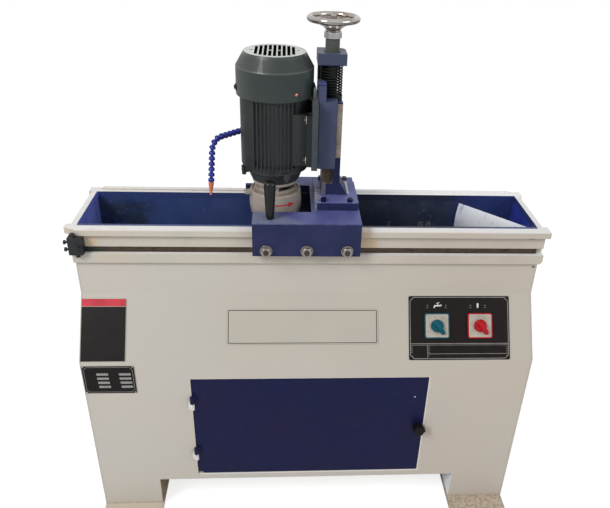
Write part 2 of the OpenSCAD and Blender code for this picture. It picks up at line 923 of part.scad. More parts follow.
module door_panel() {
    half = hinge_l / 2;
    t = sheet_t;
    color(NAVY)
        difference() {
            union() {
                slab([door_x0, y_front, door_z], [door_x1, y_front + t, door_z + door_h]);
                fold(door_x0 + t, door_x1 - t, door_z + t, door_z + door_h - t, t);
                for (z = hinge_z)
                    hinge_half(z + half, half, 1);
            }
            for (z = hinge_z)
                post(hinge_x, hinge_y, z - eps, hinge_pin_d / 2 + run_fit, hinge_l - 4 + fit + eps);
            bar_y(latch_x, y_front - eps, latch_z, latch_r + run_fit, 20);
            translate([door_x0, 0, door_z])
                rotate([0, 45, 0])
                    cube([corner_cut * 1.4, 3 * base_d, corner_cut * 1.4], center = true);
        }
}

// Lobed knob in front of the door, its spindle and the cam behind
module latch_knob() {
    knob_y = y_front - 24;
    color(BLACK) {
        translate([latch_x, y_front - 4, latch_z])
            rotate([90, 0, 0]) {
                cylinder(r = 12, h = 18);
                for (a = [0 : 60 : 300])
                    rotate([0, 0, a]) translate([11, 0, 2]) cylinder(r = 5, h = 14);
            }
        bar_y(latch_x, y_front - 4.5, latch_z, latch_r, cam_y - y_front + 6);
        slab([latch_x - 7, cam_y, latch_z - 32], [latch_x + 7, cam_y + 3, latch_z + 8]);
        bar_y(latch_x, y_front - fit - 1, latch_z, 9, 1);
    }
}

// ---------- carriage ----------

// Plate open at the left round the grinding head, with a skirt over the beam
module carriage_frame() {
    y = skirt_y;
    color(BLUE)
        difference() {
            union() {
                along_x(car_x0, car_x1)
                    polygon([[y, car_top - skirt_h], [y + skirt_t, car_top - skirt_h],
                             [y + skirt_t, car_low - 8], [y + skirt_t + 8, car_low],
                             [front_bar_y, car_low], [front_bar_y, car_top], [y + 1.5, car_top],
                             [y, car_top - 1.5]]);
                slab([window_x, front_bar_y - eps, car_low], [car_x1, rear_bar_y0 + eps, car_top]);
                slab([car_x0, rear_bar_y0, car_low], [car_x1, rear_bar_y1, car_top]);
                slab([car_x0 - 25, rear_bar_y0 + 3, car_top - 13], [car_x0 + eps, rear_bar_y0 + 12, car_top]);
                for (side = [-1, 1])
                    bar_y(carriage_x + side * rear_spread, rear_roller_y - 12, rear_roller_z, rear_axle_r, 24);
            }
            for (x = [carriage_x - bolt_pitch, carriage_x, carriage_x + bolt_pitch])
                bar_y(x, y - eps, bolt_z, axle_d / 2 + fit, skirt_t + 2 * eps);
            for (side = [-1, 1])
                roller_pocket(carriage_x + side * rear_spread);
        }
}

// Room for a rear roller, leaving its axle across
module roller_pocket(x) {
    r = rear_roller_d / 2 + 1.2;
    y = rear_roller_y - rear_roller_w / 2 - 0.5;
    difference() {
        slab([x - r, y, car_low - eps], [x + r, y + rear_roller_w + 1, rear_roller_z + r]);
        bar_y(x, y - eps, rear_roller_z, rear_axle_r, rear_roller_w + 1 + 2 * eps);
    }
}

// Bronze pads on which the carriage slides along the front rim
module wear_pads() {
    color([0.70, 0.55, 0.30])
        for (side = [-1, 1])
            slab([carriage_x + side * 80 - 32, beam_y + 4, table_h + fit],
                 [carriage_x + side * 80 + 32, rim_back - 2, car_low]);
}

// Studs through the skirt with washers and nuts; they carry the front rollers
module skirt_bolts() {
    y = skirt_y;
    r = axle_d / 2;
    color(STEEL)
        for (x = [carriage_x - bolt_pitch, carriage_x, carriage_x + bolt_pitch]) {
            bar_y(x, y - 14, bolt_z, r, roller_y1 - y + 14);
            bar_y(x, y - 2.5, bolt_z, 14, 2.5);
            translate([x, y - 2.5, bolt_z])
                rotate([90, 0, 0])
                    intersection() {
                        cylinder(d = 22 / cos(30), h = 9, $fn = 6);
                        translate([0, 0, -5]) cylinder(r1 = 21, r2 = 9.5, h = 15.5);
                    }
            bar_y(x, y + skirt_t, bolt_z, r + 3, roller_y0 - fit - y - skirt_t);
        }
}

// Grooved roller that runs under the rim
module front_roller(i) {
    x = carriage_x + (i - 2) * bolt_pitch;
    w = roller_y1 - roller_y0;
    color(STEEL)
        translate([x, roller_y0, bolt_z])
            rotate([-90, 0, 0])
                difference() {
                    cylinder(d = roller_d, h = w);
                    translate([0, 0, -eps]) cylinder(r = axle_d / 2 + run_fit, h = w + 2 * eps);
                    for (z = [-eps, w - 0.8])
                        translate([0, 0, z])
                            difference() {
                                cylinder(d = roller_d - 7, h = 0.8 + eps);
                                translate([0, 0, -eps]) cylinder(d = axle_d + 7, h = 4);
                            }
                }
}

module front_roller_1() {
    front_roller(1);
}

module front_roller_2() {
    front_roller(2);
}

module front_roller_3() {
    front_roller(3);
}

module rear_roller(side) {
    w = rear_roller_w;
    color(STEEL)
        translate([carriage_x + side * rear_spread, rear_roller_y - w / 2, rear_roller_z])
            rotate([-90, 0, 0])
                difference() {
                    cylinder(d = rear_roller_d, h = w);
                    translate([0, 0, -eps]) cylinder(r = rear_axle_r + run_fit, h = w + 2 * eps);
                }
}

module rear_roller_1() {
    rear_roller(-1);
}

module rear_roller_2() {
    rear_roller(1);
}

// Tapered push grip with a domed top
module push_handle() {
    low_r = 9.4;
    top_r = 13.3;
    round_r = 8;
    color(BLACK)
        translate([handle_x, handle_y, car_top])
            rotate_extrude()
                polygon(concat([[0, 0], [low_r - 2, 0], [low_r, 4]],
                               [for (a = [0 : 15 : 90])
                                   [top_r - round_r * (1 - cos(a)), handle_h - round_r * (1 - sin(a))]],
                               [[0, handle_h]]));
}

// ---------- column ----------

// Corner of the foot plate cut off at an angle
module foot_outline() {
    polygon([[foot_x0, foot_y0], [foot_x1, foot_y0], [foot_x1, foot_y1 - 26],
             [foot_x1 - 16, foot_y1], [foot_x0, foot_y1]]);
}

// Casting: foot, slotted lower column, arched spine and top bearing block
module column() {
    x0 = column_x;
    x1 = column_x + column_w;
    y0 = column_y;
    y1 = column_y + column_d;
    cheek_x = slide_right + 1;
    color(BLUE)
        difference() {
            union() {
                translate([0, 0, car_top]) linear_extrude(foot_plate_t) foot_outline();
                slab([x0, y0, car_top], [x1, y1, head_room_z]);
                translate([0, y1, 0])
                    rotate([90, 0, 0])
                        linear_extrude(column_d)
                            polygon([[x1 - 1, column_foot_z + 34], [x1 + 20, column_foot_z],
                                     [x1 - 1, column_foot_z - 1]]);
                slab([cheek_x, y0, head_room_z - eps], [x1, y1, slide_top - 9]);
                slab([slide_x + 2 * fit, y0 + 45, head_room_z - 40], [x1 - 11, y1, block_top]);
                translate([0, 0, block_z]) linear_extrude(block_t) block_outline();
            }
            post(screw_x, screw_y, nut_room_z, channel_r, block_z - nut_room_z);
            post(screw_x, screw_y, head_room_z, spring_room, block_z - head_room_z);
            slab([x1 - 8, screw_y - 14, head_room_z], [x1 + eps, screw_y + 14, block_z]);
            post(screw_x, screw_y, block_z - eps, journal_r + 0.5, block_t + 2 * eps);
            slab([screw_x - tongue_slot / 2, y0 - eps, nut_room_z],
                 [screw_x + tongue_slot / 2, screw_y, head_room_z + eps]);
            slab([screw_x - tongue_slot / 2, y0 - eps, groove_z + tongue_slot / 2],
                 [screw_x + tongue_slot / 2, y0 + groove_d, nut_room_z + eps]);
            bar_y(screw_x, y0 - eps, groove_z + tongue_slot / 2, tongue_slot / 2, groove_d + eps);
            for (p = foot_bolts)
                post(p.x, p.y, car_top - eps, 4.5, foot_plate_t + 2 * eps);
        }
}

// Top block in plan, its rear right corner well rounded
module block_outline() {
    r = 20;
    y1 = column_y + column_d;
    union() {
        polygon([[block_x0, column_y], [block_x1, column_y], [block_x1, y1 - r],
                 [block_x1 - r, y1], [block_x0, y1]]);
        translate([block_x1 - r, y1 - r]) circle(r);
    }
}

module column_bolts() {
    color(BLACK)
        for (p = foot_bolts)
            difference() {
                union() {
                    post(p.x, p.y, car_top, 4, foot_plate_t);
                    post(p.x, p.y, column_foot_z, 6.5, 8);
                }
                hex(p.x, p.y, column_foot_z + 3, 6, 6);
            }
}

// Steel scale on the right cheek of the column, with two screws
module column_scale() {
    x = column_x + column_w - 6.5;
    low = column_foot_z + 92;
    high = slide_top - 12;
    color(STEEL) {
        slab([x - 6, column_y - 1.2, low], [x + 6, column_y, high]);
        for (z = [low + 7, high - 7])
            bar_y(x, column_y - 2.2, z, 2.5, 1.2);
    }
}

// Black sleeve on the top block, the upper bearing of the lift screw
module screw_sleeve() {
    color(BLACK)
        translate([screw_x, screw_y, block_top])
            difference() {
                union() {
                    cylinder(d = sleeve_d, h = sleeve_h);
                    cylinder(d = sleeve_d + 5, h = 3);
                }
                translate([0, 0, -eps]) cylinder(r = journal_r + run_fit, h = sleeve_h + 2 * eps);
            }
}

// ---------- slide and lift screw ----------

// Slide: front plate, side arm, key and tongue, nut and the spring seat
module slide_block() {
    x0 = slide_x;
    x1 = slide_right;
    y0 = slide_y;
    y1 = column_y - fit;
    c = 3;
    tongue = tongue_slot - 2 * fit;
    color(BLUE)
        difference() {
            union() {
                translate([0, 0, slide_z])
                    linear_extrude(slide_h)
                        polygon([[x0, y0 + c], [x0 + c, y0], [x1 - c, y0], [x1, y0 + c], [x1, y1], [x0, y1]]);
                translate([0, 0, slide_z])
                    linear_extrude(slide_h + arm_rise)
                        polygon([[x0, y0 + c], [x0 + c, y0], [column_x + 3, y0], [column_x + 3, y1],
                                 [column_x - fit, y1], [column_x - fit, y0 + 50], [x0, y0 + 50]]);
                slab([screw_x - tongue / 2, y1 - eps, slide_top - nut_h],
                     [screw_x + tongue / 2, screw_y, slide_top - eps]);
                slab([screw_x - tongue / 2, y1 - eps, slide_z + 12],
                     [screw_x + tongue / 2, column_y + groove_d - 0.5, slide_top - nut_h + eps]);
                post(screw_x, screw_y, slide_top - nut_h, channel_r - fit, nut_h);
                post(screw_x, screw_y, slide_top - seat_t, spring_room - 1, seat_t);
                post(screw_x, screw_y, slide_top - eps, guide_tube_r, 38 + eps);
            }
            difference() {
                post(screw_x, screw_y, slide_top, spring_room, arm_rise + eps);
                post(screw_x, screw_y, slide_top - eps, guide_tube_r, 38 + eps);
            }
            post(screw_x, screw_y, slide_z - eps, screw_d / 2 + run_fit, slide_h + 60);
        }
}

// Threaded screw with a plain upper journal
module lift_screw() {
    low = nut_room_z + 2;
    r = screw_d / 2;
    color(BLACK) {
        post(screw_x, screw_y, low, r, block_z - fit - low);
        post(screw_x, screw_y, block_z - fit - eps, journal_r, wheel_z + 8 - block_z);
    }
}

module dial_collar() {
    z = block_top + sleeve_h + fit;
    color(STEEL)
        difference() {
            union() {
                post(screw_x, screw_y, z, collar_d / 2, collar_h - 5);
                translate([screw_x, screw_y, z + collar_h - 5])
                    cylinder(r1 = collar_d / 2, r2 = collar_d / 2 - 3, h = 4.5);
            }
            post(screw_x, screw_y, z - eps, journal_r, collar_h + 2 * eps);
            for (a = [0 : 12 : 348])
                translate([screw_x, screw_y, z + 2])
                    rotate([0, 0, a])
                        translate([collar_d / 2 - 0.6, -0.4, 0])
                            cube([2, 0.8, 7]);
        }
}

// Round rim on a dished web, with its hub
module handwheel() {
    rim_r = handwheel_d / 2 - wheel_rim_d / 2;
    hub_low = block_top + sleeve_h + collar_h;
    hub_r = hub_d / 2;
    web = 4;
    color([0.80, 0.80, 0.80])
        translate([screw_x, screw_y, 0])
            rotate_extrude()
                union() {
                    translate([rim_r, wheel_z]) circle(d = wheel_rim_d);
                    polygon([[rim_r - 2, wheel_z - 3], [rim_r - 2, wheel_z - 3 + web],
                             [hub_r + 8, hub_low + 7 + web], [hub_r, hub_low + 6 + web],
                             [hub_r, wheel_z - 6], [hub_r - 2, wheel_z - 4], [journal_r, wheel_z - 4],
                             [journal_r, hub_low], [hub_r + 4, hub_low], [hub_r + 9, hub_low + 5]]);
                }
}

// Helix of round wire between the slide and the top block
function coil_point(a) = [spring_coil_r * cos(a), spring_coil_r * sin(a),
                          wire_d / 2 + a / 360 / spring_turns * (spring_l - 2 * fit - wire_d)];

module lift_spring() {
    rings = floor(spring_turns * 360 / coil_step);
    points = [for (i = [0 : rings], k = [0 : coil_sides - 1])
                 let (a = i * coil_step, b = k * 360 / coil_sides, c = coil_point(a), w = wire_d / 2 * cos(b))
                     [c.x + w * cos(a), c.y + w * sin(a), c.z + wire_d / 2 * sin(b)]];
    sides = [for (i = [0 : rings - 1], k = [0 : coil_sides - 1])
                let (n = (k + 1) % coil_sides)
                    [i * coil_sides + k, (i + 1) * coil_sides + k,
                     (i + 1) * coil_sides + n, i * coil_sides + n]];
    ends = [[for (k = [0 : coil_sides - 1]) k],
            [for (k = [coil_sides - 1 : -1 : 0]) rings * coil_sides + k]];
    color(BLACK)
        translate([screw_x, screw_y, slide_top + fit])
            polyhedron(points = points, faces = concat(sides, ends), convexity = 10);
}

// ---------- motor and grinding head ----------

module motor_plate() {
    y = motor_y;
    color(BLACK)
        difference() {
            slab([motor_face_x, y - foot_gauge / 2 - 16, slide_z + 7],
                 [slide_x, y + foot_gauge / 2 + 16, slide_z + 154]);
            post(motor_x, y, cowl_z - 2, cowl_r + 2 * fit, cowl_h);
            for (side = [-1, 1], z = [body_z + 30, body_z + 120])
                bar_x(motor_face_x - eps, y + side * foot_gauge / 2, z, 4.5, 20);
        }
}

// Finned body with two mounting feet and bosses for the cowl screws
module motor_body() {
    hole = shaft_r + run_fit;
    color(BLACK)
        difference() {
            union() {
                translate([motor_x, motor_y, body_z]) {
                    cylinder(r = fin_root, h = motor_h);
                    cylinder(r = motor_r - 2, h = 10);
                    translate([0, 0, motor_h - 4]) cylinder(r = motor_r - 2, h = cowl_screw_z + 9);
                    translate([0, 0, 4])
                        intersection() {
                            cylinder(r = motor_r, h = motor_h - 4);
                            fin_blocks(motor_h - 4);
                        }
                    for (a = cowl_screws)
                        rotate([0, 0, a])
                            translate([motor_r - 8, -5, motor_h + cowl_screw_z - 5])
                                cube([cowl_r - cowl_t - fit - motor_r + 8, 10, 10]);
                }
                for (side = [-1, 1])
                    motor_foot(side);
            }
            post(motor_x, motor_y, body_z - eps, shaft_r + 6, motor_h - 8);
            post(motor_x, motor_y, body_z, hole, motor_h + 30);
            for (side = [-1, 1], z = [body_z + 30, body_z + 120])
                bar_x(motor_face_x - 20, motor_y + side * foot_gauge / 2, z, 4.5, 30);
        }
}

// Smooth flanks and the row of upright fins between them, before they are cut round
module fin_blocks(h) {
    half = (fin_n - 1) / 2 * fin_pitch;
    r = motor_r + eps;
    for (i = [0 : fin_n - 1])
        translate([i * fin_pitch - half - fin_t / 2, -r, 0]) cube([fin_t, 2 * r, h]);
    for (x = [-r, half])
        translate([x, -r, 0]) cube([r - half, 2 * r, h]);
}

module motor_foot(side) {
    y = motor_y + side * foot_gauge / 2;
    slab([motor_x + 38, y - 7, body_z + 18], [motor_face_x, y + 7, body_z + 132]);
    slab([motor_face_x - 12, y - 15, body_z + 18], [motor_face_x, y + 15, body_z + 132]);
}

// Lower bearing shield with four lugs
module end_shield() {
    h = body_z - shield_z;
    color(BLACK)
        translate([motor_x, motor_y, shield_z])
            difference() {
                union() {
                    rotate_extrude()
                        polygon([[0, 0], [54, 0], [57, 6], [62, h - 16], [64, h - 8],
                                 [motor_r - 3, h - 6], [motor_r - 3, h], [0, h]]);
                    for (a = [20, 110, 200, 290])
                        rotate([0, 0, a]) {
                            translate([motor_r - 14, -7, h - 14]) cube([16, 14, 14]);
                            translate([motor_r - 2, 0, h - 20]) cylinder(r = 5, h = 20);
                        }
                }
                translate([0, 0, -eps]) cylinder(r = shaft_r + run_fit, h = h + 2 * eps);
            }
}

// Outline of the cowl, set in by a distance
module cowl_section(inset) {
    straight = cowl_h - cowl_cone;
    polygon([[0, -inset], [cowl_r - inset, -inset], [cowl_r - inset, straight],
             [cowl_end_r - inset * 0.6, cowl_h - inset], [0, cowl_h - inset]]);
}

// Fan cowl, a drawn shell with a row of air slots in its end
module fan_cowl() {
    slot_w = 6.6;
    slot_pitch = 9.9;
    room = cowl_end_r - 12;
    color(BLACK)
        translate([motor_x, motor_y, cowl_z])
            difference() {
                rotate_extrude() cowl_section(0);
                rotate_extrude() cowl_section(cowl_t);
                for (i = [-4 : 4])
                    let (x = i * slot_pitch, reach = sqrt(pow(room, 2) - pow(x, 2)), bridge = abs(i) == 1 ? 3 : 0)
                        for (y = [-reach, bridge])
                            translate([x - slot_w / 2, y, cowl_h - 10])
                                cube([slot_w, reach - bridge, 20]);
                for (x = [-50, 50])
                    translate([x, 0, cowl_h - 10]) cylinder(r = 3, h = 20);
                for (a = cowl_screws)
                    rotate([0, 0, a])
                        translate([cowl_r - 8, 0, cowl_screw_z])
                            rotate([0, 90, 0])
                                cylinder(r = 2.5, h = 20);
            }
}

// Junction box at the rear of the motor
module terminal_box() {
    x = motor_x + 18;
    y = motor_y + motor_r + fit;
    color(BLACK)
        difference() {
            union() {
                slab([x - 34, y, body_z + 70], [x + 34, y + 28, body_z + 132]);
                slab([x - 37, y + 28, body_z + 67], [x + 37, y + 33, body_z + 135]);
                bar_x(x + 30, y + 14, body_z + 100, 9, 18);
            }
            for (dx = [-31, 31], dz = [73, 129])
                bar_y(x + dx, y + 26, body_z + dz, 2, 10);
        }
}

// Neck with windows and the guard round the cup wheel
module wheel_guard() {
    t = guard_t;
    total = neck_h + guard_h;
    color(CREAM)
        translate([motor_x, motor_y, guard_z])
            difference() {
                union() {
                    rotate_extrude()
                        polygon([[guard_r - 3 - t, 0], [guard_r - 3, 0], [guard_r, 18], [guard_r, 30],
                                 [guard_r - 2, guard_h - 4], [guard_r - 4, guard_h],
                                 [guard_r - 7, guard_h], [guard_r - 8, guard_h - 3],
                                 [guard_r - 13, guard_h - 3], [guard_r - 13, guard_h + 12],
                                 [guard_r - 8, total - 6], [guard_r - 8, total],
                                 [guard_r - 20, total], [guard_r - 20, guard_h - 9],
                                 [guard_r - t, guard_h - 9], [guard_r - t, 18]]);
                    rotate([0, 0, 196])
                        translate([guard_r - 12, -9, guard_h - 8])
                            cube([24, 18, 6]);
                }
                for (a = [-50, 70, 190])
                    rotate([0, 0, a])
                        translate([guard_r - 30, -24, guard_h + 7])
                            cube([30, 48, 12]);
                rotate([0, 0, 196])
                    translate([guard_r + 6, 0, guard_h - 10])
                        cylinder(r = 3, h = 10);
            }
}

// Motor shaft with the flange that carries the wheel
module rotor_shaft() {
    low = cup_z + cup_h - cup_back - 12;
    color(STEEL)
        translate([motor_x, motor_y, 0]) {
            translate([0, 0, low]) cylinder(r = shaft_r, h = cowl_z + cowl_screw_z + 37 - low);
            translate([0, 0, cup_z + cup_h]) cylinder(r = 26, h = 7);
            translate([0, 0, cup_z + cup_h + 7 - eps]) cylinder(r = 16, h = 20);
            translate([0, 0, low]) cylinder(d = 30 / cos(30), h = 11.7, $fn = 6);
        }
}

module cooling_fan() {
    z = cowl_z + cowl_screw_z + 9;
    tip = cowl_r - cowl_t - 8;
    color(BLACK)
        translate([motor_x, motor_y, z])
            difference() {
                union() {
                    cylinder(r = 20, h = 24);
                    cylinder(r = tip, h = 2);
                    for (a = [0 : 45 : 315])
                        rotate([0, 0, a])
                            translate([15, -1, 0])
                                cube([tip - 16, 2, 26]);
                }
                translate([0, 0, -eps]) cylinder(r = shaft_r, h = 40);
            }
}

// Cup wheel: grinding rim on a flat back
module cup_wheel() {
    color([0.62, 0.45, 0.36])
        translate([motor_x, motor_y, cup_z])
            difference() {
                rotate_extrude()
                    polygon([[cup_r - cup_wall, 0], [cup_r, 0], [cup_r, 12], [cup_r - 4, cup_h],
                             [0, cup_h], [0, cup_h - cup_back], [cup_r - cup_wall - 5, cup_h - cup_back]]);
                translate([0, 0, cup_h - cup_back - eps]) cylinder(r = shaft_r, h = cup_back + 2 * eps);
            }
}

// ---------- coolant hose ----------

// Distance out from the foot and height above it, after a length of hose
function hose_out(d) =
    d < climb ? 0
    : d < climb + arc_1 ? rise_bend * (1 - cos(turned(d, climb, rise_bend)))
    : d < climb + arc_1 + hose_reach ? rise_bend + d - climb - arc_1
    : d < hose_len - hose_drop ? rise_bend + hose_reach + drop_bend * sin(turned(d, drop_at, drop_bend))
    : rise_bend + hose_reach + drop_bend * sin(drop_turn) + (d - hose_len + hose_drop) * cos(drop_turn);
function hose_up(d) =
    d < climb ? d
    : d < climb + arc_1 ? climb + rise_bend * sin(turned(d, climb, rise_bend))
    : d < climb + arc_1 + hose_reach ? climb + rise_bend
    : d < hose_len - hose_drop ? climb + rise_bend - drop_bend * (1 - cos(turned(d, drop_at, drop_bend)))
    : climb + rise_bend - drop_bend * (1 - cos(drop_turn)) - (d - hose_len + hose_drop) * sin(drop_turn);
function turned(d, from, r) = (d - from) / r * 180 / PI;
function bead(i) = [hose_out(i * bead_pitch), 0, hose_up(i * bead_pitch)];
function lean(i) = atan2(bead(i + 1).x - bead(i).x, bead(i + 1).z - bead(i).z);

// Frame of the hose plane, with its origin at the fixed ball
module at_hose() {
    translate([hose_x, hose_y, hose_foot_z]) rotate([0, 0, hose_heading]) children();
}

// Ball joint segment: ball at the origin, socket one pitch up
module hose_segment() {
    p = norm(bead(1) - bead(0));
    difference() {
        union() {
            sphere(r = ball_r);
            cylinder(r = ball_r - 2.1, h = p);
            intersection() {
                translate([0, 0, p]) sphere(r = bead_d / 2);
                cylinder(r = bead_d, h = p + socket_lip);
            }
        }
        translate([0, 0, p]) sphere(r = socket_r);
        translate([0, 0, -bead_d]) cylinder(r = hose_bore, h = 3 * bead_d);
    }
}

module hose_segments() {
    color(BLUE)
        at_hose()
            for (i = [0 : bead_n - 1])
                translate(bead(i))
                    rotate([0, lean(i), 0])
                        hose_segment();
}

// Manifold on the rear bar: socket of the hose foot above, inlet barb behind
module hose_inlet() {
    low = car_top;
    mid = low + 5.5;
    barb_y = rear_bar_y1 - 2;
    color(BLUE)
        difference() {
            union() {
                slab([hose_x - 9, hose_y - 12, low], [hose_x + 11, barb_y, low + 9]);
                intersection() {
                    translate([hose_x, hose_y, hose_foot_z]) sphere(r = bead_d / 2);
                    post(hose_x, hose_y, low + 1, bead_d, hose_foot_z + socket_lip - low - 1);
                }
                bar_y(hose_x, barb_y - eps, mid, 4, 22 + eps);
                for (i = [0 : 2])
                    translate([hose_x, barb_y + 5 + i * 6, mid])
                        rotate([-90, 0, 0])
                            cylinder(r1 = 5.2, r2 = 4, h = 5);
            }
            translate([hose_x, hose_y, hose_foot_z]) sphere(r = socket_r);
            post(hose_x, hose_y, mid, hose_bore, 12);
            bar_y(hose_x, hose_y - 1, mid, hose_bore, 60);
        }
}

// Tapered nozzle on the last segment
module hose_nozzle() {
    color([0.88, 0.42, 0.26])
        at_hose()
            translate(bead(bead_n))
                rotate([0, lean(bead_n - 1), 0])
                    difference() {
                        union() {
                            sphere(r = ball_r);
                            cylinder(r = ball_r - 2.1, h = 8);
                            translate([0, 0, 4.5]) cylinder(r1 = 5, r2 = 6.6, h = 2);
                            translate([0, 0, 6.5]) cylinder(r1 = 6.6, r2 = 2.2, h = 29);
                        }
                        translate([0, 0, -bead_d]) cylinder(r = 1.4, h = 60);
                    }
}

front_panel();
left_side_panel();
right_side_panel();
rear_panel();
base_shelf();
foot_plates();
guide_beam();
guide_strip();
tub_rim();
rear_rail();
tub();
drain_pipe();
rail_stop();
splash_guard();
beam_bearings();
knife_beam();
clamp_bar();
clamp_screws();
coolant_tank();
coolant_pump();
power_gland();
switch_panel();
blank_plates();
pump_switch();
motor_switch();
pump_knob();
motor_knob();
door_hinges();
door_panel();
latch_knob();
carriage_frame();
wear_pads();
skirt_bolts();
front_roller_1();
front_roller_2();
front_roller_3();
rear_roller_1();
rear_roller_2();
push_handle();
column();
column_bolts();
column_scale();
screw_sleeve();
hose_inlet();
hose_segments();
hose_nozzle();
slide_block();
motor_plate();
motor_body();
end_shield();
fan_cowl();
terminal_box();
wheel_guard();
rotor_shaft();
cooling_fan();
cup_wheel();
lift_screw();
dial_collar();
handwheel();
lift_spring();
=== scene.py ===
import math
import random

import bmesh
import bpy
from mathutils import Matrix, Vector


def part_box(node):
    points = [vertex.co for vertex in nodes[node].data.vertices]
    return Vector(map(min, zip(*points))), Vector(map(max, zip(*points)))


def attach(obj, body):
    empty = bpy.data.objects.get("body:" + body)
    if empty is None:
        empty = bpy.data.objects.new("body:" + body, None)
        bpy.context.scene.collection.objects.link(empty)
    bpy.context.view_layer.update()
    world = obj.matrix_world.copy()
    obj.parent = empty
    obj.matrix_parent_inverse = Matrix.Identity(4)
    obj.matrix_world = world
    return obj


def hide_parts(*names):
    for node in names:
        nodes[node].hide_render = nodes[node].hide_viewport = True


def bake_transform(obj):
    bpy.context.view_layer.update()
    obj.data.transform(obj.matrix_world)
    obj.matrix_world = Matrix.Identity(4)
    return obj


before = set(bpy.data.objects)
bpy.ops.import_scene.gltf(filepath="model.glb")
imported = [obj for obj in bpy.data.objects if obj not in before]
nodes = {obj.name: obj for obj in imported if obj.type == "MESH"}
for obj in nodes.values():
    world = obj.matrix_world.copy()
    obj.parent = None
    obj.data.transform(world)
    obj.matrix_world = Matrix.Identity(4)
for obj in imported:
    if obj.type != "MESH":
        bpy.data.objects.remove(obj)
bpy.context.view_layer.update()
random.seed(7)

# Lengths and places are mm in the part's frame: +X right along the beam, +Y rear, +Z up.
# Noise scales count cells per metre, and colours are linear.
LEFT, RIGHT, FRONT, UP = (-1, 0, 0), (1, 0, 0), (0, -1, 0), (0, 0, 1)


def mm(*lengths):
    """Vector in metres from lengths in mm."""
    return Vector(lengths) / 1000


def span(name, axis):
    """Lowest and highest place of a CAD node along an axis, to 0.01 mm."""
    return [round(corner["xyz".index(axis)] * 1000, 2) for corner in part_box(name)]


def middle(name, axis):
    """Middle of a CAD node along an axis."""
    return round(sum(span(name, axis)) / 2, 2)


# ---------------------------------------------------------------- places read from the frame
MOTOR_X, MOTOR_Y = middle("fan_cowl", "x"), middle("fan_cowl", "y")
COWL_LOW, COWL_TOP = span("fan_cowl", "z")
LIFT_X, LIFT_Y = middle("handwheel", "x"), middle("handwheel", "y")
SPRING_LOW, SPRING_HIGH = span("lift_spring", "z")
PANEL_LEFT, PANEL_RIGHT = span("switch_panel", "x")
PUMP_SWITCH_X, MOTOR_SWITCH_X = middle("pump_switch", "x"), middle("motor_switch", "x")
SCALE_X, SCALE_FACE_Y = middle("column_scale", "x"), span("column_scale", "y")[0] + 1
SCALE_LOW, SCALE_HIGH = span("column_scale", "z")
STUD_Z = middle("skirt_bolts", "z")
HINGE_LOW = span("door_hinges", "z")[0]

# ---------------------------------------------------------------- places repeated from part.scad
STUD_X = (-106.5, -15, 76.5)
BAND_TOP_Y, BAND_TOP_Z = -69, 620
BAND_ANGLE = math.atan2(92, 135)
BAND_NORMAL = (0, -math.cos(BAND_ANGLE), math.sin(BAND_ANGLE))
PANEL_S, PANEL_H, PANEL_T = 85.18, 154, 1.5
SWITCH_S, SWITCH_T = 80.18, 5
CENTRE_PLATE_X, CENTRE_PLATE_S = -20.5, 81.18
LEFT_PLATE_X, LEFT_PLATE_S = -486.5, 87.68
PLATE_FACE = 1.65
DATA_PLATE_X, DATA_PLATE_Y, DATA_PLATE_Z = -477, -162.5, 435
HINGE_PITCH = 169
LEG_TOP = 93.5
LEG_LEFT, LEG_RIGHT = (-397, -372), (372, 397)
# the tub's paint is darker between these two stretches of x
DARKER_START, DARKER_END = (-140, 20), (340, 440)

# ---------------------------------------------------------------- camera, solved from the photograph
CAMERA_YAW, CAMERA_PITCH, CAMERA_ROLL = math.radians(4.8), math.radians(29.9), math.radians(-2.6)
CAMERA_PLACE = (-63.5, -1396.9, 1462.8)
PICTURE_W, PICTURE_H = 610, 508
FOCAL_PX, CENTRE_X_PX, CENTRE_Y_PX = 654.8, 332.8, 265.1
SENSOR_W = 36


def add_camera():
    """Camera of the photograph, with its optical centre off the picture's middle."""
    level = math.cos(CAMERA_PITCH)
    ahead = Vector((math.sin(CAMERA_YAW) * level, math.cos(CAMERA_YAW) * level, -math.sin(CAMERA_PITCH)))
    flat = Vector((math.cos(CAMERA_YAW), -math.sin(CAMERA_YAW), 0))
    steep = ahead.cross(flat)
    right = math.cos(CAMERA_ROLL) * flat + math.sin(CAMERA_ROLL) * steep
    down = -math.sin(CAMERA_ROLL) * flat + math.cos(CAMERA_ROLL) * steep
    camera = bpy.data.objects.new("camera", bpy.data.cameras.new("camera"))
    bpy.context.scene.collection.objects.link(camera)
    turn = Matrix((right, -down, -ahead)).transposed().to_4x4()
    camera.matrix_world = Matrix.Translation(mm(*CAMERA_PLACE)) @ turn
    camera.data.sensor_width = SENSOR_W
    camera.data.lens = FOCAL_PX * SENSOR_W / PICTURE_W
    camera.data.shift_x = (PICTURE_W / 2 - CENTRE_X_PX) / PICTURE_W
    camera.data.shift_y = (CENTRE_Y_PX - PICTURE_H / 2) / PICTURE_W
    camera.data.clip_start = 0.05
    camera.data.clip_end = 200
    bpy.context.scene.camera = camera


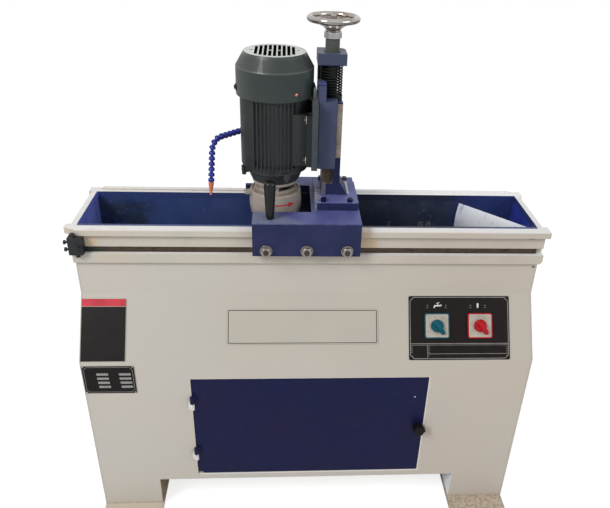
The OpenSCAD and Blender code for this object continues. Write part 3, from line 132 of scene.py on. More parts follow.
# ---------------------------------------------------------------- node trees
class Nodes:
    """A cleared node tree with short ways to add and link nodes."""

    def __init__(self, owner):
        owner.use_nodes = True
        self.tree = owner.node_tree
        self.tree.nodes.clear()

    def new(self, kind, *values, **props):
        """Add a node, set its properties and fill its first inputs in order."""
        node = self.tree.nodes.new("ShaderNode" + kind)
        for key, value in props.items():
            setattr(node, key, value)
        for value, socket in zip(values, node.inputs):
            self.put(value, socket)
        return node

    def put(self, value, socket):
        """Link an output to a socket, or give the socket a constant."""
        if isinstance(value, bpy.types.NodeSocket):
            self.tree.links.new(value, socket)
        elif isinstance(value, tuple) and len(value) < len(socket.default_value):
            socket.default_value = (*value, 1.0)
        else:
            socket.default_value = value

    def math(self, operation, a, b=0.0):
        """One sum on two sockets or numbers."""
        return self.new("Math", a, b, operation=operation).outputs[0]

    def both(self, *masks):
        """Product of masks and numbers."""
        total = masks[0]
        for mask in masks[1:]:
            total = self.math("MULTIPLY", total, mask)
        return total

    def either(self, *masks):
        """Largest of several masks."""
        most = masks[0]
        for mask in masks[1:]:
            most = self.math("MAXIMUM", most, mask)
        return most

    def ramp(self, value, *stops):
        """Colours or greys at given positions."""
        node = self.new("ValToRGB", value)
        points = node.color_ramp.elements
        while len(points) < len(stops):
            points.new(0.5)
        for point, (position, tone) in zip(points, stops):
            point.position = position
            point.color = (*tone, 1) if isinstance(tone, tuple) else (tone, tone, tone, 1)
        return node.outputs[0]


# every material by its name
LOOKS = {}


class Mat(Nodes):
    """Principled material with procedural colour, read in the part's own coordinates."""

    def __init__(self, name, base, rough=0.45, metal=0.0, **more):
        self.material = bpy.data.materials.new(name)
        super().__init__(self.material)
        LOOKS[name] = self.material
        self.shader = self.new("BsdfPrincipled")
        self.new("OutputMaterial", self.shader.outputs[0])
        self.position = self.new("TexCoord").outputs["Object"]
        self.axes = dict(zip("xyz", self.new("SeparateXYZ", self.position).outputs))
        self.given = {}
        self.set("Base Color", base)
        self.set("Roughness", rough)
        self.set("Metallic", metal)
        for key, value in more.items():
            self.set(key.replace("_", " "), value)

    def set(self, name, value):
        """Give an input of the shader a constant or a link, and remember it."""
        self.given[name] = value
        self.put(value, self.shader.inputs[name])

    def mix(self, mask, a, b):
        """Colour a where the mask is 0, b where it is 1."""
        colour_a, colour_b, colour_result = 6, 7, 2
        node = self.new("Mix", mask, data_type="RGBA", blend_type="MIX")
        self.put(a, node.inputs[colour_a])
        self.put(b, node.inputs[colour_b])
        return node.outputs[colour_result]

    def over(self, mask, colour, amount=None):
        """Lay a colour over the present one where the mask is 1."""
        if amount is not None:
            mask = self.both(mask, amount)
        self.set("Base Color", self.mix(mask, self.given["Base Color"], colour))

    def noise(self, scale, detail=3.0, rough=0.5, stretch=None, shift=0.0):
        """Clouds in the part's coordinates, stretched along the axes with the smaller factors."""
        source = self.position
        if stretch or shift:
            mapping = self.new("Mapping", source)
            mapping.inputs["Scale"].default_value = stretch or (1, 1, 1)
            mapping.inputs["Location"].default_value = (shift, shift, shift)
            source = mapping.outputs[0]
        node = self.new("TexNoise", source)
        node.inputs["Scale"].default_value = scale
        node.inputs["Detail"].default_value = detail
        node.inputs["Roughness"].default_value = rough
        return node.outputs["Fac"]

    def grains(self, scale):
        """Distance to the nearest of many scattered grains."""
        node = self.new("TexVoronoi", self.position)
        node.inputs["Scale"].default_value = scale
        return node.outputs["Distance"]

    def rise(self, value, low, high):
        """0 below low, 1 above high; the other way round when low is above high."""
        ends = (0, 1) if low < high else (1, 0)
        limits = (min(low, high), max(low, high))
        return self.new("MapRange", value, *limits, *ends, interpolation_type="SMOOTHSTEP").outputs[0]

    def along(self, axis, low, high):
        """0 at low and 1 at high along an axis, both in mm."""
        return self.rise(self.axes[axis], low / 1000, high / 1000)

    def aslant(self, axis, other, factor, low, high):
        """Like along, on one coordinate plus a factor times another."""
        slant = self.math("ADD", self.axes[axis], self.math("MULTIPLY", self.axes[other], factor))
        return self.rise(slant, low / 1000, high / 1000)

    def patches(self, low, high, scale, detail=3.0, rough=0.5, stretch=None, shift=0.0):
        """Cloudy mask: 0 where the noise is below low, 1 above high."""
        return self.rise(self.noise(scale, detail, rough, stretch, shift), low, high)

    def mottle(self, a, b, scale, low=0.35, high=0.7, **options):
        """Two colours in clouds."""
        return self.mix(self.patches(low, high, scale, **options), a, b)

    def inside(self, soft, **limits):
        """1 inside a box given as x=(low, high) and so on in mm, with soft sides."""
        slabs = []
        for axis, (low, high) in limits.items():
            above = self.along(axis, low - soft, low + soft)
            below = self.along(axis, high + soft, high - soft)
            slabs.append(self.both(above, below))
        return self.both(*slabs)

    def near(self, radius, soft=0.4, **centre):
        """1 within a radius in mm of the line through two given coordinates."""
        squares = []
        for axis, value in centre.items():
            off = self.math("SUBTRACT", self.axes[axis], value / 1000)
            squares.append(self.math("MULTIPLY", off, off))
        distance = self.math("SQRT", self.math("ADD", *squares))
        return self.rise(distance, (radius + soft) / 1000, (radius - soft) / 1000)

    def dot(self, a, b):
        """Dot product of two vectors."""
        return self.new("VectorMath", a, b, operation="DOT_PRODUCT").outputs["Value"]

    def facing(self, direction, low=0.6, high=0.9):
        """1 where the surface looks along a direction of the part."""
        normal = self.new("NewGeometry").outputs["Normal"]
        local = self.new("VectorTransform", normal, vector_type="NORMAL")
        local.convert_from = "WORLD"
        local.convert_to = "OBJECT"
        return self.rise(self.dot(local.outputs[0], direction), low, high)

    def rounded_normal(self, radius):
        """Surface normal as if edges had a radius in mm."""
        bevel = self.new("Bevel", samples=4)
        bevel.inputs["Radius"].default_value = radius / 1000
        return bevel.outputs[0]

    def edges(self, radius=1.5):
        """1 on convex and concave edges."""
        slight, sharp = 0.03, 0.175
        flatness = self.dot(self.rounded_normal(radius), self.new("NewGeometry").outputs["Normal"])
        return self.rise(self.math("SUBTRACT", 1.0, flatness), slight, sharp)

    def cloudy_gloss(self, scale, detail, first, second, low=0.3, high=0.7):
        """Roughness between two values in clouds."""
        self.set("Roughness", self.ramp(self.noise(scale, detail), (low, first), (high, second)))

    def relief(self, height, strength, distance, soft=0.0):
        """Bump of a distance in mm, on edges softened by a radius in mm."""
        node = self.new("Bump")
        node.inputs["Strength"].default_value = strength
        node.inputs["Distance"].default_value = distance / 1000
        self.put(height, node.inputs["Height"])
        if soft:
            self.put(self.rounded_normal(soft), node.inputs["Normal"])
        self.set("Normal", node.outputs[0])


# ---------------------------------------------------------------- kinds of material
def enamel(name, base, other, worn, rough=0.42, wear=0.5, scale=9, peel=900, dust=0.25, coat=0.0, sheen=0.25):
    """Brushed or sprayed enamel: cloudy tone, dust, worn edges and a fine orange peel."""
    m = Mat(name, base, rough, Coat_Weight=coat, Specular_IOR_Level=sheen)
    m.set("Base Color", m.mottle(base, other, scale))
    m.over(m.patches(0.52, 0.75, 60, 5, 0.65), tuple(min(1, v * 1.25 + 0.02) for v in base), dust)
    if wear:
        chips = m.both(m.edges(), m.patches(0.62 - wear * 0.25, 0.75, 140, 4, 0.7))
        m.over(chips, worn)
        m.set("Roughness", m.mix(chips, (rough,) * 3, (0.6,) * 3))
    else:
        m.cloudy_gloss(25, 4, rough - 0.06, rough + 0.08)
    m.relief(m.noise(peel, 2), 0.10, 0.4, soft=0.8)
    return m


def steel(name, base, rough=0.32, grime=(0.16, 0.12, 0.09), dirt=0.3, stretch=(1, 1, 1), fine=700):
    """Machined steel with a directional grain and oily brown marks."""
    m = Mat(name, base, rough, 1.0)
    grain = m.noise(fine, 2, 0.5, stretch)
    m.over(m.patches(0.45, 0.7, 45, 5, 0.65), grime, dirt)
    m.over(grain, tuple(v * 0.6 for v in base), 0.35)
    m.set("Roughness", m.ramp(grain, (0.2, rough - 0.1), (0.8, rough + 0.16)))
    m.relief(grain, 0.12, 0.3, soft=0.5)
    return m


def plastic(name, base, rough=0.3, peel=1200, sheen=0.3):
    """Moulded plastic or printed film."""
    m = Mat(name, base, rough, Specular_IOR_Level=sheen)
    m.set("Base Color", m.mottle(base, tuple(v * 0.8 for v in base), 40))
    m.cloudy_gloss(200, 3, rough - 0.05, rough + 0.1)
    m.relief(m.noise(peel, 2), 0.06, 0.3, soft=0.6)
    return m


# ---------------------------------------------------------------- materials of single pieces
def cabinet_enamel():
    """Off-white sheets: cooler on the left, creamier on the right, marked near the floor."""
    m = Mat("white", (0.55, 0.50, 0.44), 0.42, Specular_IOR_Level=0.25)
    m.set("Base Color", m.mottle((0.565, 0.53, 0.475), (0.553, 0.523, 0.472), 5.5, detail=1.5))
    creamy = m.mottle((0.56, 0.505, 0.435), (0.548, 0.495, 0.43), 5.5, detail=1.5)
    m.over(m.along("x", -350, 450), creamy)
    m.over(m.patches(0.45, 0.68, 3.2, 2, 0.5, shift=3), (0.555, 0.495, 0.42), 0.5)
    # painted shade: the slanted control band is painted darker than the front
    m.over(m.facing(BAND_NORMAL, 0.93, 0.98), (0.40, 0.375, 0.325), 0.6)
    scuffs = m.both(m.patches(0.62, 0.8, 55, 5, 0.7), m.along("z", 300, 0))
    m.over(scuffs, (0.36, 0.31, 0.24), 0.3)
    # painted shadow of the latch knob, a brown patch to its right
    latch_shadow = m.both(m.inside(6, x=(292, 316), z=(244, 270)), m.facing(FRONT))
    m.over(latch_shadow, (0.36, 0.28, 0.20), 0.35)
    # painted highlight: paler along all edges and creases
    m.over(m.edges(2), (0.64, 0.61, 0.56), 0.3)
    splashes = m.both(m.along("z", 18, 8), m.patches(0.35, 0.6, 80, 4, 0.6))
    m.over(splashes, (0.34, 0.26, 0.17), 0.5)
    shaded_leg = m.both(m.inside(2, x=LEG_LEFT, z=(0, LEG_TOP)), m.facing(RIGHT))
    m.over(shaded_leg, m.mottle((0.22, 0.16, 0.085), (0.33, 0.26, 0.15), 60))
    lit_leg = m.both(m.inside(2, x=LEG_RIGHT, z=(0, LEG_TOP)), m.facing(LEFT))
    m.over(lit_leg, (0.82, 0.86, 0.95))
    # the lip round the door opening catches the light
    lips = m.either(m.inside(0.6, x=(289.5, 293.5), z=(112, 434.5)),
                    m.inside(0.6, x=(-285, 293.5), z=(112.5, 117.2)),
                    m.inside(0.6, x=(-285, 293.5), z=(431.5, 434)))
    m.over(m.both(lips, m.facing(FRONT)), (0.82, 0.81, 0.79), 0.75)
    m.cloudy_gloss(30, 3, 0.36, 0.5)
    m.relief(m.noise(700, 2), 0.08, 0.4, soft=1.2)


def machined_rim():
    """Rims and rails: tops painted near white as painted light, creamy and stained in front, tub paint on the
    inner faces.
    """
    m = Mat("rim", (0.60, 0.56, 0.50), 0.4, Specular_IOR_Level=0.3)
    m.set("Base Color", m.mottle((0.53, 0.50, 0.43), (0.56, 0.51, 0.44), 8, detail=2))
    m.over(m.along("x", 0, 350), m.mottle((0.52, 0.455, 0.39), (0.545, 0.49, 0.425), 8, detail=2))
    # painted light: the top faces are painted near white
    m.over(m.facing(UP), (0.72, 0.71, 0.695))
    for x, z, amount in (((-512, -484), (740, 772.5), 0.9), ((108, 150), (742, 772.5), 1.0),
                         ((108, 134), (773, 788.5), 0.9), ((-490, -400), (705, 730), 0.2)):
        stain = m.both(m.inside(3, x=x, z=z), m.patches(0.20, 0.34, 38, 4, 0.6))
        m.over(stain, (0.60, 0.475, 0.335), amount)
    corner = m.both(m.inside(20, x=(-555, -400), z=(770, 789)), m.patches(0.4, 0.6, 24, 3, 0.5, shift=2))
    m.over(corner, (0.62, 0.50, 0.36), 0.4)
    m.over(m.patches(0.56, 0.75, 26, 5, 0.7), (0.44, 0.37, 0.29), 0.3)
    m.over(m.edges(1.2), (0.48, 0.43, 0.38), 0.4)
    # painted shadow: black in the gap under the rim's right end
    gap_shadow = m.inside(1, x=(503, 520), y=(-80, -60), z=(767, 773.5))
    m.over(gap_shadow, (0.01, 0.01, 0.01), 0.9)
    rear_right = m.both(m.along("y", 120, 130), m.along("x", 50, 120))
    m.over(rear_right, (0.83, 0.82, 0.81))
    wall = m.both(m.facing(FRONT), m.inside(0.5, x=(-531, 531), y=(120, 137), z=(700, 788.4)))
    ends = m.both(m.either(m.facing(RIGHT), m.facing(LEFT)), m.inside(1, x=(-536, 536), y=(-44, 140)))
    lap = m.both(m.facing(UP), m.inside(0.4, x=(-529.5, 529.5), y=(-53.5, -44), z=(787, 789)))
    inner = m.mix(m.along("x", *DARKER_START), (0.030, 0.050, 0.16), (0.018, 0.022, 0.048))
    inner = m.mix(m.along("x", *DARKER_END), inner, (0.024, 0.038, 0.15))
    # painted light on the left end's inner face, bright blue as on the tub
    inner = m.mix(m.along("x", -526, -529), inner, (0.14, 0.18, 0.60))
    m.over(m.either(wall, ends, lap), inner)
    m.cloudy_gloss(60, 3, 0.32, 0.5)
    m.relief(m.noise(400, 2, 0.5, (1, 8, 8)), 0.08, 0.4, soft=1.0)


def door_enamel():
    """Navy, with one pale chip above the latch."""
    m = enamel("navy", (0.0065, 0.0085, 0.052), (0.009, 0.009, 0.047), (0.06, 0.06, 0.10),
               wear=0.2, scale=7, peel=800, dust=0.2, sheen=0.15)
    chip = m.inside(0.8, x=(259, 263), z=(368.2, 372.7))
    m.over(chip, (0.4, 0.4, 0.45))


def carriage_enamel():
    """Carriage, column and slide: worn dark blue, with painted light on the top faces and dust on top."""
    m = Mat("blue", (0.018, 0.024, 0.082), 0.42, Specular_IOR_Level=0.2)
    m.set("Base Color", m.mottle((0.016, 0.021, 0.072), (0.022, 0.026, 0.088), 18, detail=3))
    top = m.facing(UP)
    # painted light: the top faces are painted much lighter than the fronts
    m.over(top, m.mottle((0.072, 0.083, 0.235), (0.098, 0.105, 0.29), 22))
    # a dusty corner in front of the guard, left of a slanting line
    corner = m.both(m.aslant("x", "y", 1.4, -139, -174), m.inside(4, z=(810, 825), y=(-110, -30)))
    m.over(m.both(corner, top, m.patches(0.15, 0.7, 110, 5, 0.7)), (0.20, 0.23, 0.28), 0.8)
    # grinding dust on the left edge of the column's foot, then painted light on the foot's top face and a
    # patch of painted glare
    dust = m.both(m.inside(8, x=(-20, 19), y=(-40, 100), z=(832, 845)), top,
                  m.patches(0.42, 0.52, 420, 4, 0.8))
    m.over(dust, m.mottle((0.20, 0.21, 0.24), (0.76, 0.76, 0.78), 600, 0.5, 0.58), 0.9)
    lit_foot_face = m.both(m.inside(1, z=(836.5, 839.5)), top)
    m.over(lit_foot_face, (0.125, 0.135, 0.32), 0.6)
    glare_patch = m.both(m.inside(3, x=(64, 86), y=(24, 108), z=(836, 840)), top,
                   m.patches(0.22, 0.40, 130, 4, 0.7))
    m.over(glare_patch, (0.78, 0.77, 0.76))
    dusty_side = m.both(m.inside(1.5, x=(2, 8.5), z=(819.5, 836.5), y=(-35, 100)),
                        m.patches(0.25, 0.55, 120, 4, 0.7))
    m.over(dusty_side, (0.30, 0.31, 0.36), 0.7)
    chips = m.both(m.edges(2), m.patches(0.42, 0.62, 150, 4, 0.7))
    more_below = m.math("ADD", m.both(m.inside(6, z=(790, 860)), 0.55), 0.15)
    m.over(m.both(chips, more_below), (0.34, 0.36, 0.44))
    slide = m.inside(1, x=(-20, 47.5), y=(-14, 14.5), z=(900, 1100))
    m.over(slide, m.mottle((0.062, 0.074, 0.132), (0.076, 0.087, 0.150), 30), 0.85)
    guideway = m.either(m.inside(0.6, x=(19, 45.5), y=(16.3, 100), z=(866, 930)),
                        m.inside(0.6, x=(26.8, 45.5), y=(18.5, 100), z=(800, 866)))
    m.over(guideway, m.mottle((0.070, 0.050, 0.034), (0.12, 0.09, 0.06), 90))
    foot_corner = m.inside(1, x=(17, 30), y=(14, 30), z=(838.5, 870))
    m.over(foot_corner, (0.15, 0.15, 0.17), 0.8)
    # painted light: the top block's top face is painted lighter than its sides
    top_block = m.inside(1, z=(1137, 1163))
    m.over(top_block, m.mix(top, (0.060, 0.072, 0.115), (0.10, 0.115, 0.13)), 0.8)
    # painted shade: near black inside the lift spring, round the lift screw
    spring_shade = m.both(m.near(27.5, x=LIFT_X, y=LIFT_Y), m.inside(1, z=(900, 1135.8)))
    m.over(spring_shade, (0.008, 0.008, 0.009))
    m.cloudy_gloss(40, 4, 0.34, 0.52)
    m.relief(m.noise(500, 3), 0.16, 0.5, soft=1.2)


def tub_enamel():
    """Tub: blue on the left, darker on the right, grimy toward the drain."""
    m = Mat("tub", (0.03, 0.07, 0.22), 0.35, Specular_IOR_Level=0.4)
    m.set("Base Color", m.mottle((0.026, 0.050, 0.165), (0.036, 0.062, 0.190), 16, detail=4))
    darker_tone = m.mottle((0.018, 0.024, 0.050), (0.024, 0.032, 0.062), 14, detail=4)
    m.over(m.along("x", *DARKER_START), darker_tone)
    m.over(m.along("x", *DARKER_END), (0.022, 0.036, 0.145))
    stain = m.both(m.inside(30, x=(-560, -400), z=(640, 765)), m.patches(0.30, 0.52, 20, 5, 0.7))
    m.over(stain, (0.015, 0.022, 0.034), 0.85)
    for x in ((204, 211), (285, 300), (306, 318)):
        fleck = m.both(m.inside(1.5, x=x, y=(130, 137), z=(698, 712)), m.patches(0.42, 0.55, 260, 3))
        m.over(fleck, (0.16, 0.16, 0.16), 0.7)
    # painted light on the end walls' inner faces: each end painted by the way it faces, the left end lightest
    m.over(m.facing(RIGHT), m.mottle((0.14, 0.18, 0.60), (0.17, 0.21, 0.66), 20), 0.9)
    m.over(m.facing(LEFT), (0.026, 0.042, 0.30), 0.9)
    m.over(m.patches(0.56, 0.72, 75, 6, 0.75), (0.16, 0.18, 0.25), 0.3)
    m.over(m.along("z", 665, 642), m.mottle((0.03, 0.035, 0.05), (0.09, 0.09, 0.09), 30))
    m.cloudy_gloss(18, 4, 0.25, 0.55, 0.35, 0.6)
    m.relief(m.noise(60, 5, 0.6), 0.18, 0.8)


def motor_enamel():
    """Dark green: painted light on the grooves' floors, darker on the right and at the left edge."""
    m = enamel("motor", (0.018, 0.023, 0.023), (0.025, 0.031, 0.030), (0.08, 0.08, 0.075),
               rough=0.40, wear=0.3, scale=14, peel=700, dust=0.35, sheen=0.3)
    # painted light: the grooves' floors are painted paler against their shade
    painted_light_grooves = m.both(m.near(71.5, 4, x=MOTOR_X, y=MOTOR_Y), m.inside(2, z=(913, 1085)))
    m.over(painted_light_grooves, (0.17, 0.19, 0.19))
    m.over(m.along("z", 911.5, 908.5), (0.05, 0.055, 0.055), 0.4)
    shade = m.either(m.both(m.along("x", -36, -28), 0.75), m.both(m.along("x", -125, -155), 0.55))
    m.over(shade, (0.008, 0.010, 0.010))


def cowl_enamel():
    """Fan cowl: a lit rim, a darker cone and a pale lid."""
    m = enamel("cowl", (0.022, 0.032, 0.030), (0.029, 0.040, 0.037), (0.10, 0.10, 0.09),
               rough=0.38, wear=0.3, scale=10, peel=500, dust=0.3, coat=0.12, sheen=0.42)
    m.over(m.inside(1.2, z=(1129.2, 1131.8)), (0.17, 0.18, 0.17), 0.25)
    cone = m.inside(1, z=(1133, 1155))
    m.over(cone, (0.012, 0.017, 0.016), 0.4)
    # painted light on the cowl's left side
    m.over(m.along("x", -125, -160), (0.060, 0.070, 0.065), 0.5)
    m.set("Roughness", m.mix(cone, m.given["Roughness"], (0.58, 0.58, 0.58)))
    lid = m.both(m.facing(UP, 0.7, 0.95), m.along("z", COWL_TOP - 6, COWL_TOP - 3))
    m.over(lid, m.mottle((0.46, 0.48, 0.44), (0.58, 0.60, 0.56), 40))


def guard_enamel():
    """Wheel guard: stained cream with a brown line under its lip."""
    m = Mat("cream", (0.40, 0.35, 0.31), 0.42, Specular_IOR_Level=0.3)
    m.set("Base Color", m.mottle((0.365, 0.325, 0.285), (0.33, 0.285, 0.255), 22, detail=3))
    lip = m.both(m.inside(2.2, z=(847, 852)), m.patches(0.25, 0.5, 50, 4))
    m.over(lip, (0.24, 0.17, 0.12), 0.7)
    m.over(m.patches(0.6, 0.75, 90, 5, 0.7), (0.26, 0.20, 0.15), 0.4)
    m.over(m.along("z", 810, 795), (0.34, 0.27, 0.22), 0.45)
    m.cloudy_gloss(60, 3, 0.33, 0.5)
    m.relief(m.noise(420, 3), 0.14, 0.5, soft=1.2)


def slot_steel():
    """Hardened strip in the beam's slot, black with oil and swarf."""
    m = steel("oily", (0.11, 0.085, 0.065), 0.5, grime=(0.05, 0.035, 0.028), dirt=0.8,
              stretch=(0.3, 6, 6), fine=160)
    m.over(m.along("x", -450, -500), (0.045, 0.055, 0.045))


def screw_steel():
    """Black screws, bright where the lift screw enters the wheel, blue on the column's front bolts."""
    m = steel("screw", (0.10, 0.10, 0.10), 0.35, dirt=0.4)
    m.over(m.along("z", 1184, 1188), (0.42, 0.40, 0.37))
    m.over(m.inside(1, x=(10, 100), y=(-35, 0), z=(836, 860)), (0.02, 0.028, 0.10))


def foot_grime():
    """Foot plates: paint under dried grinding mud."""
    m = Mat("feet", (0.36, 0.29, 0.22), 0.55, Specular_IOR_Level=0.2)
    m.set("Base Color", m.mottle((0.36, 0.29, 0.22), (0.50, 0.42, 0.33), 120, 0.4, 0.6, detail=5))
    m.over(m.along("x", 0, -300), (0.52, 0.46, 0.38))
    m.over(m.patches(0.60, 0.72, 260, 4, 0.7), (0.14, 0.10, 0.07))
    m.relief(m.noise(300, 4, 0.6), 0.4, 0.6, soft=0.8)


def nozzle_plastic():
    """Orange, paler toward its tip."""
    m = plastic("nozzle", (0.72, 0.17, 0.075), 0.24, peel=300)
    m.set("Base Color", m.mix(m.along("z", 842, 826), (0.70, 0.18, 0.085), (0.78, 0.34, 0.23)))


def plate_film():
    """Pale film of the plates."""
    m = Mat("sticker", (0.50, 0.47, 0.42), 0.34, Specular_IOR_Level=0.2)
    m.set("Base Color", m.mottle((0.44, 0.41, 0.355), (0.455, 0.42, 0.365), 9, detail=1.5))
    m.relief(m.noise(900, 2), 0.05, 0.3, soft=0.6)


def abrasive_grain():
    """Cup wheel: coarse brown grain."""
    m = Mat("abrasive", (0.40, 0.26, 0.19), 0.85)
    m.set("Base Color", m.mix(m.rise(m.grains(1400), 0.1, 0.6), (0.46, 0.31, 0.24), (0.24, 0.15, 0.12)))
    m.relief(m.grains(1400), 0.6, 0.8)


def wheel_plating():
    """Plated handwheel, brown below where it mirrors the room."""
    m = Mat("chrome", (0.44, 0.43, 0.405), 0.10, 1.0)
    m.over(m.patches(0.5, 0.7, 30, 4), (0.26, 0.24, 0.215), 0.3)
    m.over(m.patches(0.42, 0.62, 26, 3, 0.5, (1, 1, 3)), (0.26, 0.175, 0.125), 0.55)
    belly = m.both(m.along("z", 1229.5, 1225.5), m.patches(0.35, 0.6, 60, 3, 0.5, (1, 1, 2)))
    m.over(belly, (0.15, 0.10, 0.075), 0.8)
    m.cloudy_gloss(45, 4, 0.06, 0.22, 0.35, 0.7)
    m.relief(m.noise(18, 3), 0.12, 1.2)


def splash_sheet():
    """Thin pale sheet, streaked by water and darker along its lower left edge."""
    m = Mat("sheet", (0.62, 0.64, 0.70), 0.4, 0.1, Specular_IOR_Level=0.3)
    m.set("Base Color", m.mottle((0.62, 0.66, 0.76), (0.74, 0.76, 0.80), 10, stretch=(1, 1, 0.3)))
    shade = m.both(m.aslant("z", "x", -0.25, 640, 615), m.along("x", 430, 370))
    m.over(shade, (0.40, 0.42, 0.52), 0.7)
    m.over(m.patches(0.56, 0.7, 42, 5, 0.7, (1, 1, 0.4)), (0.20, 0.21, 0.28), 0.5)
    m.relief(m.noise(12, 3, 0.5, (1, 1, 0.4)), 0.25, 3)


def zinc_nuts():
    """Nuts and washers on the skirt, with rusty stud ends."""
    m = steel("zinc", (0.38, 0.36, 0.335), grime=(0.20, 0.165, 0.13), dirt=0.4)
    studs = m.either(*[m.near(6.4, x=x, z=STUD_Z) for x in STUD_X])
    rust = m.both(studs, m.along("y", -112.5, -113.8))
    m.over(rust, m.mottle((0.030, 0.019, 0.014), (0.09, 0.045, 0.025), 300))
    m.set("Metallic", m.math("SUBTRACT", 1.0, m.both(rust, 0.8)))


for make_look in (cabinet_enamel, machined_rim, door_enamel, carriage_enamel, tub_enamel, motor_enamel,
                  cowl_enamel, guard_enamel, slot_steel, screw_steel, foot_grime, nozzle_plastic, plate_film,
                  abrasive_grain, wheel_plating, splash_sheet, zinc_nuts):
    make_look()

enamel("black", (0.014, 0.017, 0.019), (0.022, 0.024, 0.026), (0.20, 0.20, 0.20),
       rough=0.4, wear=0.55, scale=20, peel=700, dust=0.4)
enamel("motor_plate", (0.044, 0.053, 0.064), (0.054, 0.063, 0.073), (0.20, 0.20, 0.21),
       wear=0.55, scale=20, peel=700, dust=0.4)
enamel("hinge", (0.72, 0.71, 0.69), (0.66, 0.65, 0.62), (0.5, 0.48, 0.44), wear=0.3, scale=60, sheen=0.2)
enamel("tank", (0.24, 0.25, 0.27), (0.20, 0.21, 0.22), (0.4, 0.38, 0.35), rough=0.45, scale=12)
enamel("pump", (0.05, 0.075, 0.13), (0.06, 0.08, 0.15), (0.3, 0.3, 0.3), rough=0.4, scale=12)
enamel("weld", (0.34, 0.32, 0.28), (0.5, 0.48, 0.42), (0.6, 0.6, 0.6), rough=0.5, wear=0, scale=60, peel=500)

steel("steel", (0.55, 0.54, 0.52), 0.30, dirt=0.35)
steel("bright", (0.66, 0.65, 0.64), 0.26, dirt=0.15)
steel("bronze", (0.58, 0.42, 0.22), 0.35)
steel("alu", (0.42, 0.41, 0.39), 0.35)
steel("copper", (0.70, 0.24, 0.16), 0.35, dirt=0.2)
steel("scale", (0.40, 0.34, 0.29), 0.38, grime=(0.20, 0.15, 0.11), dirt=0.7, fine=500)

plastic("fan", (0.34, 0.37, 0.34), 0.45, peel=500)
plastic("sleeve", (0.080, 0.088, 0.080), 0.4, peel=700)
plastic("latch", (0.007, 0.0065, 0.0075), 0.34, peel=500, sheen=0.15)
plastic("rubbery", (0.015, 0.017, 0.016), 0.38, peel=700)
plastic("phenolic", (0.009, 0.010, 0.010), 0.22, peel=500)
plastic("wire", (0.010, 0.011, 0.011), 0.5, peel=300, sheen=0.15)
plastic("hose", (0.025, 0.035, 0.30), 0.18, peel=300)
plastic("teal", (0.001, 0.090, 0.125), 0.2, sheen=0.2)
plastic("red", (0.44, 0.006, 0.012), 0.2, sheen=0.2)
plastic("ivory", (0.46, 0.415, 0.355), 0.34, sheen=0.2)
plastic("panel", (0.010, 0.007, 0.006), 0.34, sheen=0.12)
plastic("white_print", (0.66, 0.65, 0.63), 0.35)
plastic("grey_print", (0.30, 0.28, 0.27), 0.35)
plastic("red_print", (0.54, 0.045, 0.065), 0.34, sheen=0.15)
plastic("dark_print", (0.012, 0.010, 0.010), 0.34, sheen=0.12)

DRESSES = {
    "white": "front_panel left_side_panel right_side_panel rear_panel base_shelf", "feet": "foot_plates",
    "hinge": "door_hinges", "navy": "door_panel", "rim": "guide_beam tub_rim rear_rail", "tub": "tub",
    "blue": "carriage_frame column slide_block hose_inlet", "motor": "motor_body end_shield terminal_box",
    "cowl": "fan_cowl", "fan": "cooling_fan", "motor_plate": "motor_plate", "cream": "wheel_guard",
    "black": "rail_stop", "rubbery": "power_gland", "sleeve": "screw_sleeve", "latch": "latch_knob",
    "phenolic": "push_handle", "steel": "knife_beam drain_pipe rotor_shaft", "zinc": "skirt_bolts",
    "bright": "clamp_bar dial_collar front_roller_1 front_roller_2 front_roller_3 rear_roller_1 "
              "rear_roller_2",
    "oily": "guide_strip beam_bearings", "screw": "clamp_screws column_bolts lift_screw",
    "wire": "lift_spring", "bronze": "wear_pads", "tank": "coolant_tank", "pump": "coolant_pump",
    "hose": "hose_segments", "nozzle": "hose_nozzle", "teal": "pump_knob", "red": "motor_knob",
    "panel": "switch_panel", "sticker": "blank_plates", "ivory": "pump_switch motor_switch",
    "abrasive": "cup_wheel", "chrome": "handwheel", "sheet": "splash_guard", "scale": "column_scale"}
for key, names in DRESSES.items():
    for name in names.split():
        nodes[name].data.materials.clear()
        nodes[name].data.materials.append(LOOKS[key])
bare = set(nodes) - set(" ".join(DRESSES.values()).split())
assert not bare, bare


# ---------------------------------------------------------------- outlines, in mm
def place(x_axis, y_axis, origin):
    """Matrix of a flat drawing whose X and Y lie along two axes of the part."""
    x, y = Vector(x_axis), Vector(y_axis)
    return Matrix.Translation(Vector(origin) / 1000) @ Matrix((x, y, x.cross(y))).transposed().to_4x4()


def band(x, s, lift):
    """Drawing on the slanted control band, s down its slope, lifted off its face."""
    sine, cosine = math.sin(BAND_ANGLE), math.cos(BAND_ANGLE)
    origin = (x, BAND_TOP_Y - s * sine - lift * cosine, BAND_TOP_Z - s * cosine + lift * sine)
    return place(RIGHT, (0, sine, cosine), origin)


def front(x, y, z):
    """Drawing that faces the front."""
    return place(RIGHT, UP, (x, y, z))


def rect(x0, y0, x1, y1):
    """Rectangle between two corners."""
    return [(x0, y0), (x1, y0), (x1, y1), (x0, y1)]


def disc(x, y, r, sides=24, turn=0.0):
    """Regular polygon round a centre."""
    angles = [turn + 2 * math.pi * i / sides for i in range(sides)]
    return [(x + r * math.cos(a), y + r * math.sin(a)) for a in angles]


def line(x0, y0, x1, y1, width):
    """Straight stroke between two points."""
    across = Vector((x1 - x0, y1 - y0)).normalized() * width / 2
    dx, dy = across.y, across.x
    return [(x0 + dx, y0 - dy), (x1 + dx, y1 - dy), (x1 - dx, y1 + dy), (x0 - dx, y0 + dy)]


def loop(corners, width):
    """Closed line through corners."""
    return [line(*a, *b, width) for a, b in zip(corners, corners[1:] + corners[:1])]


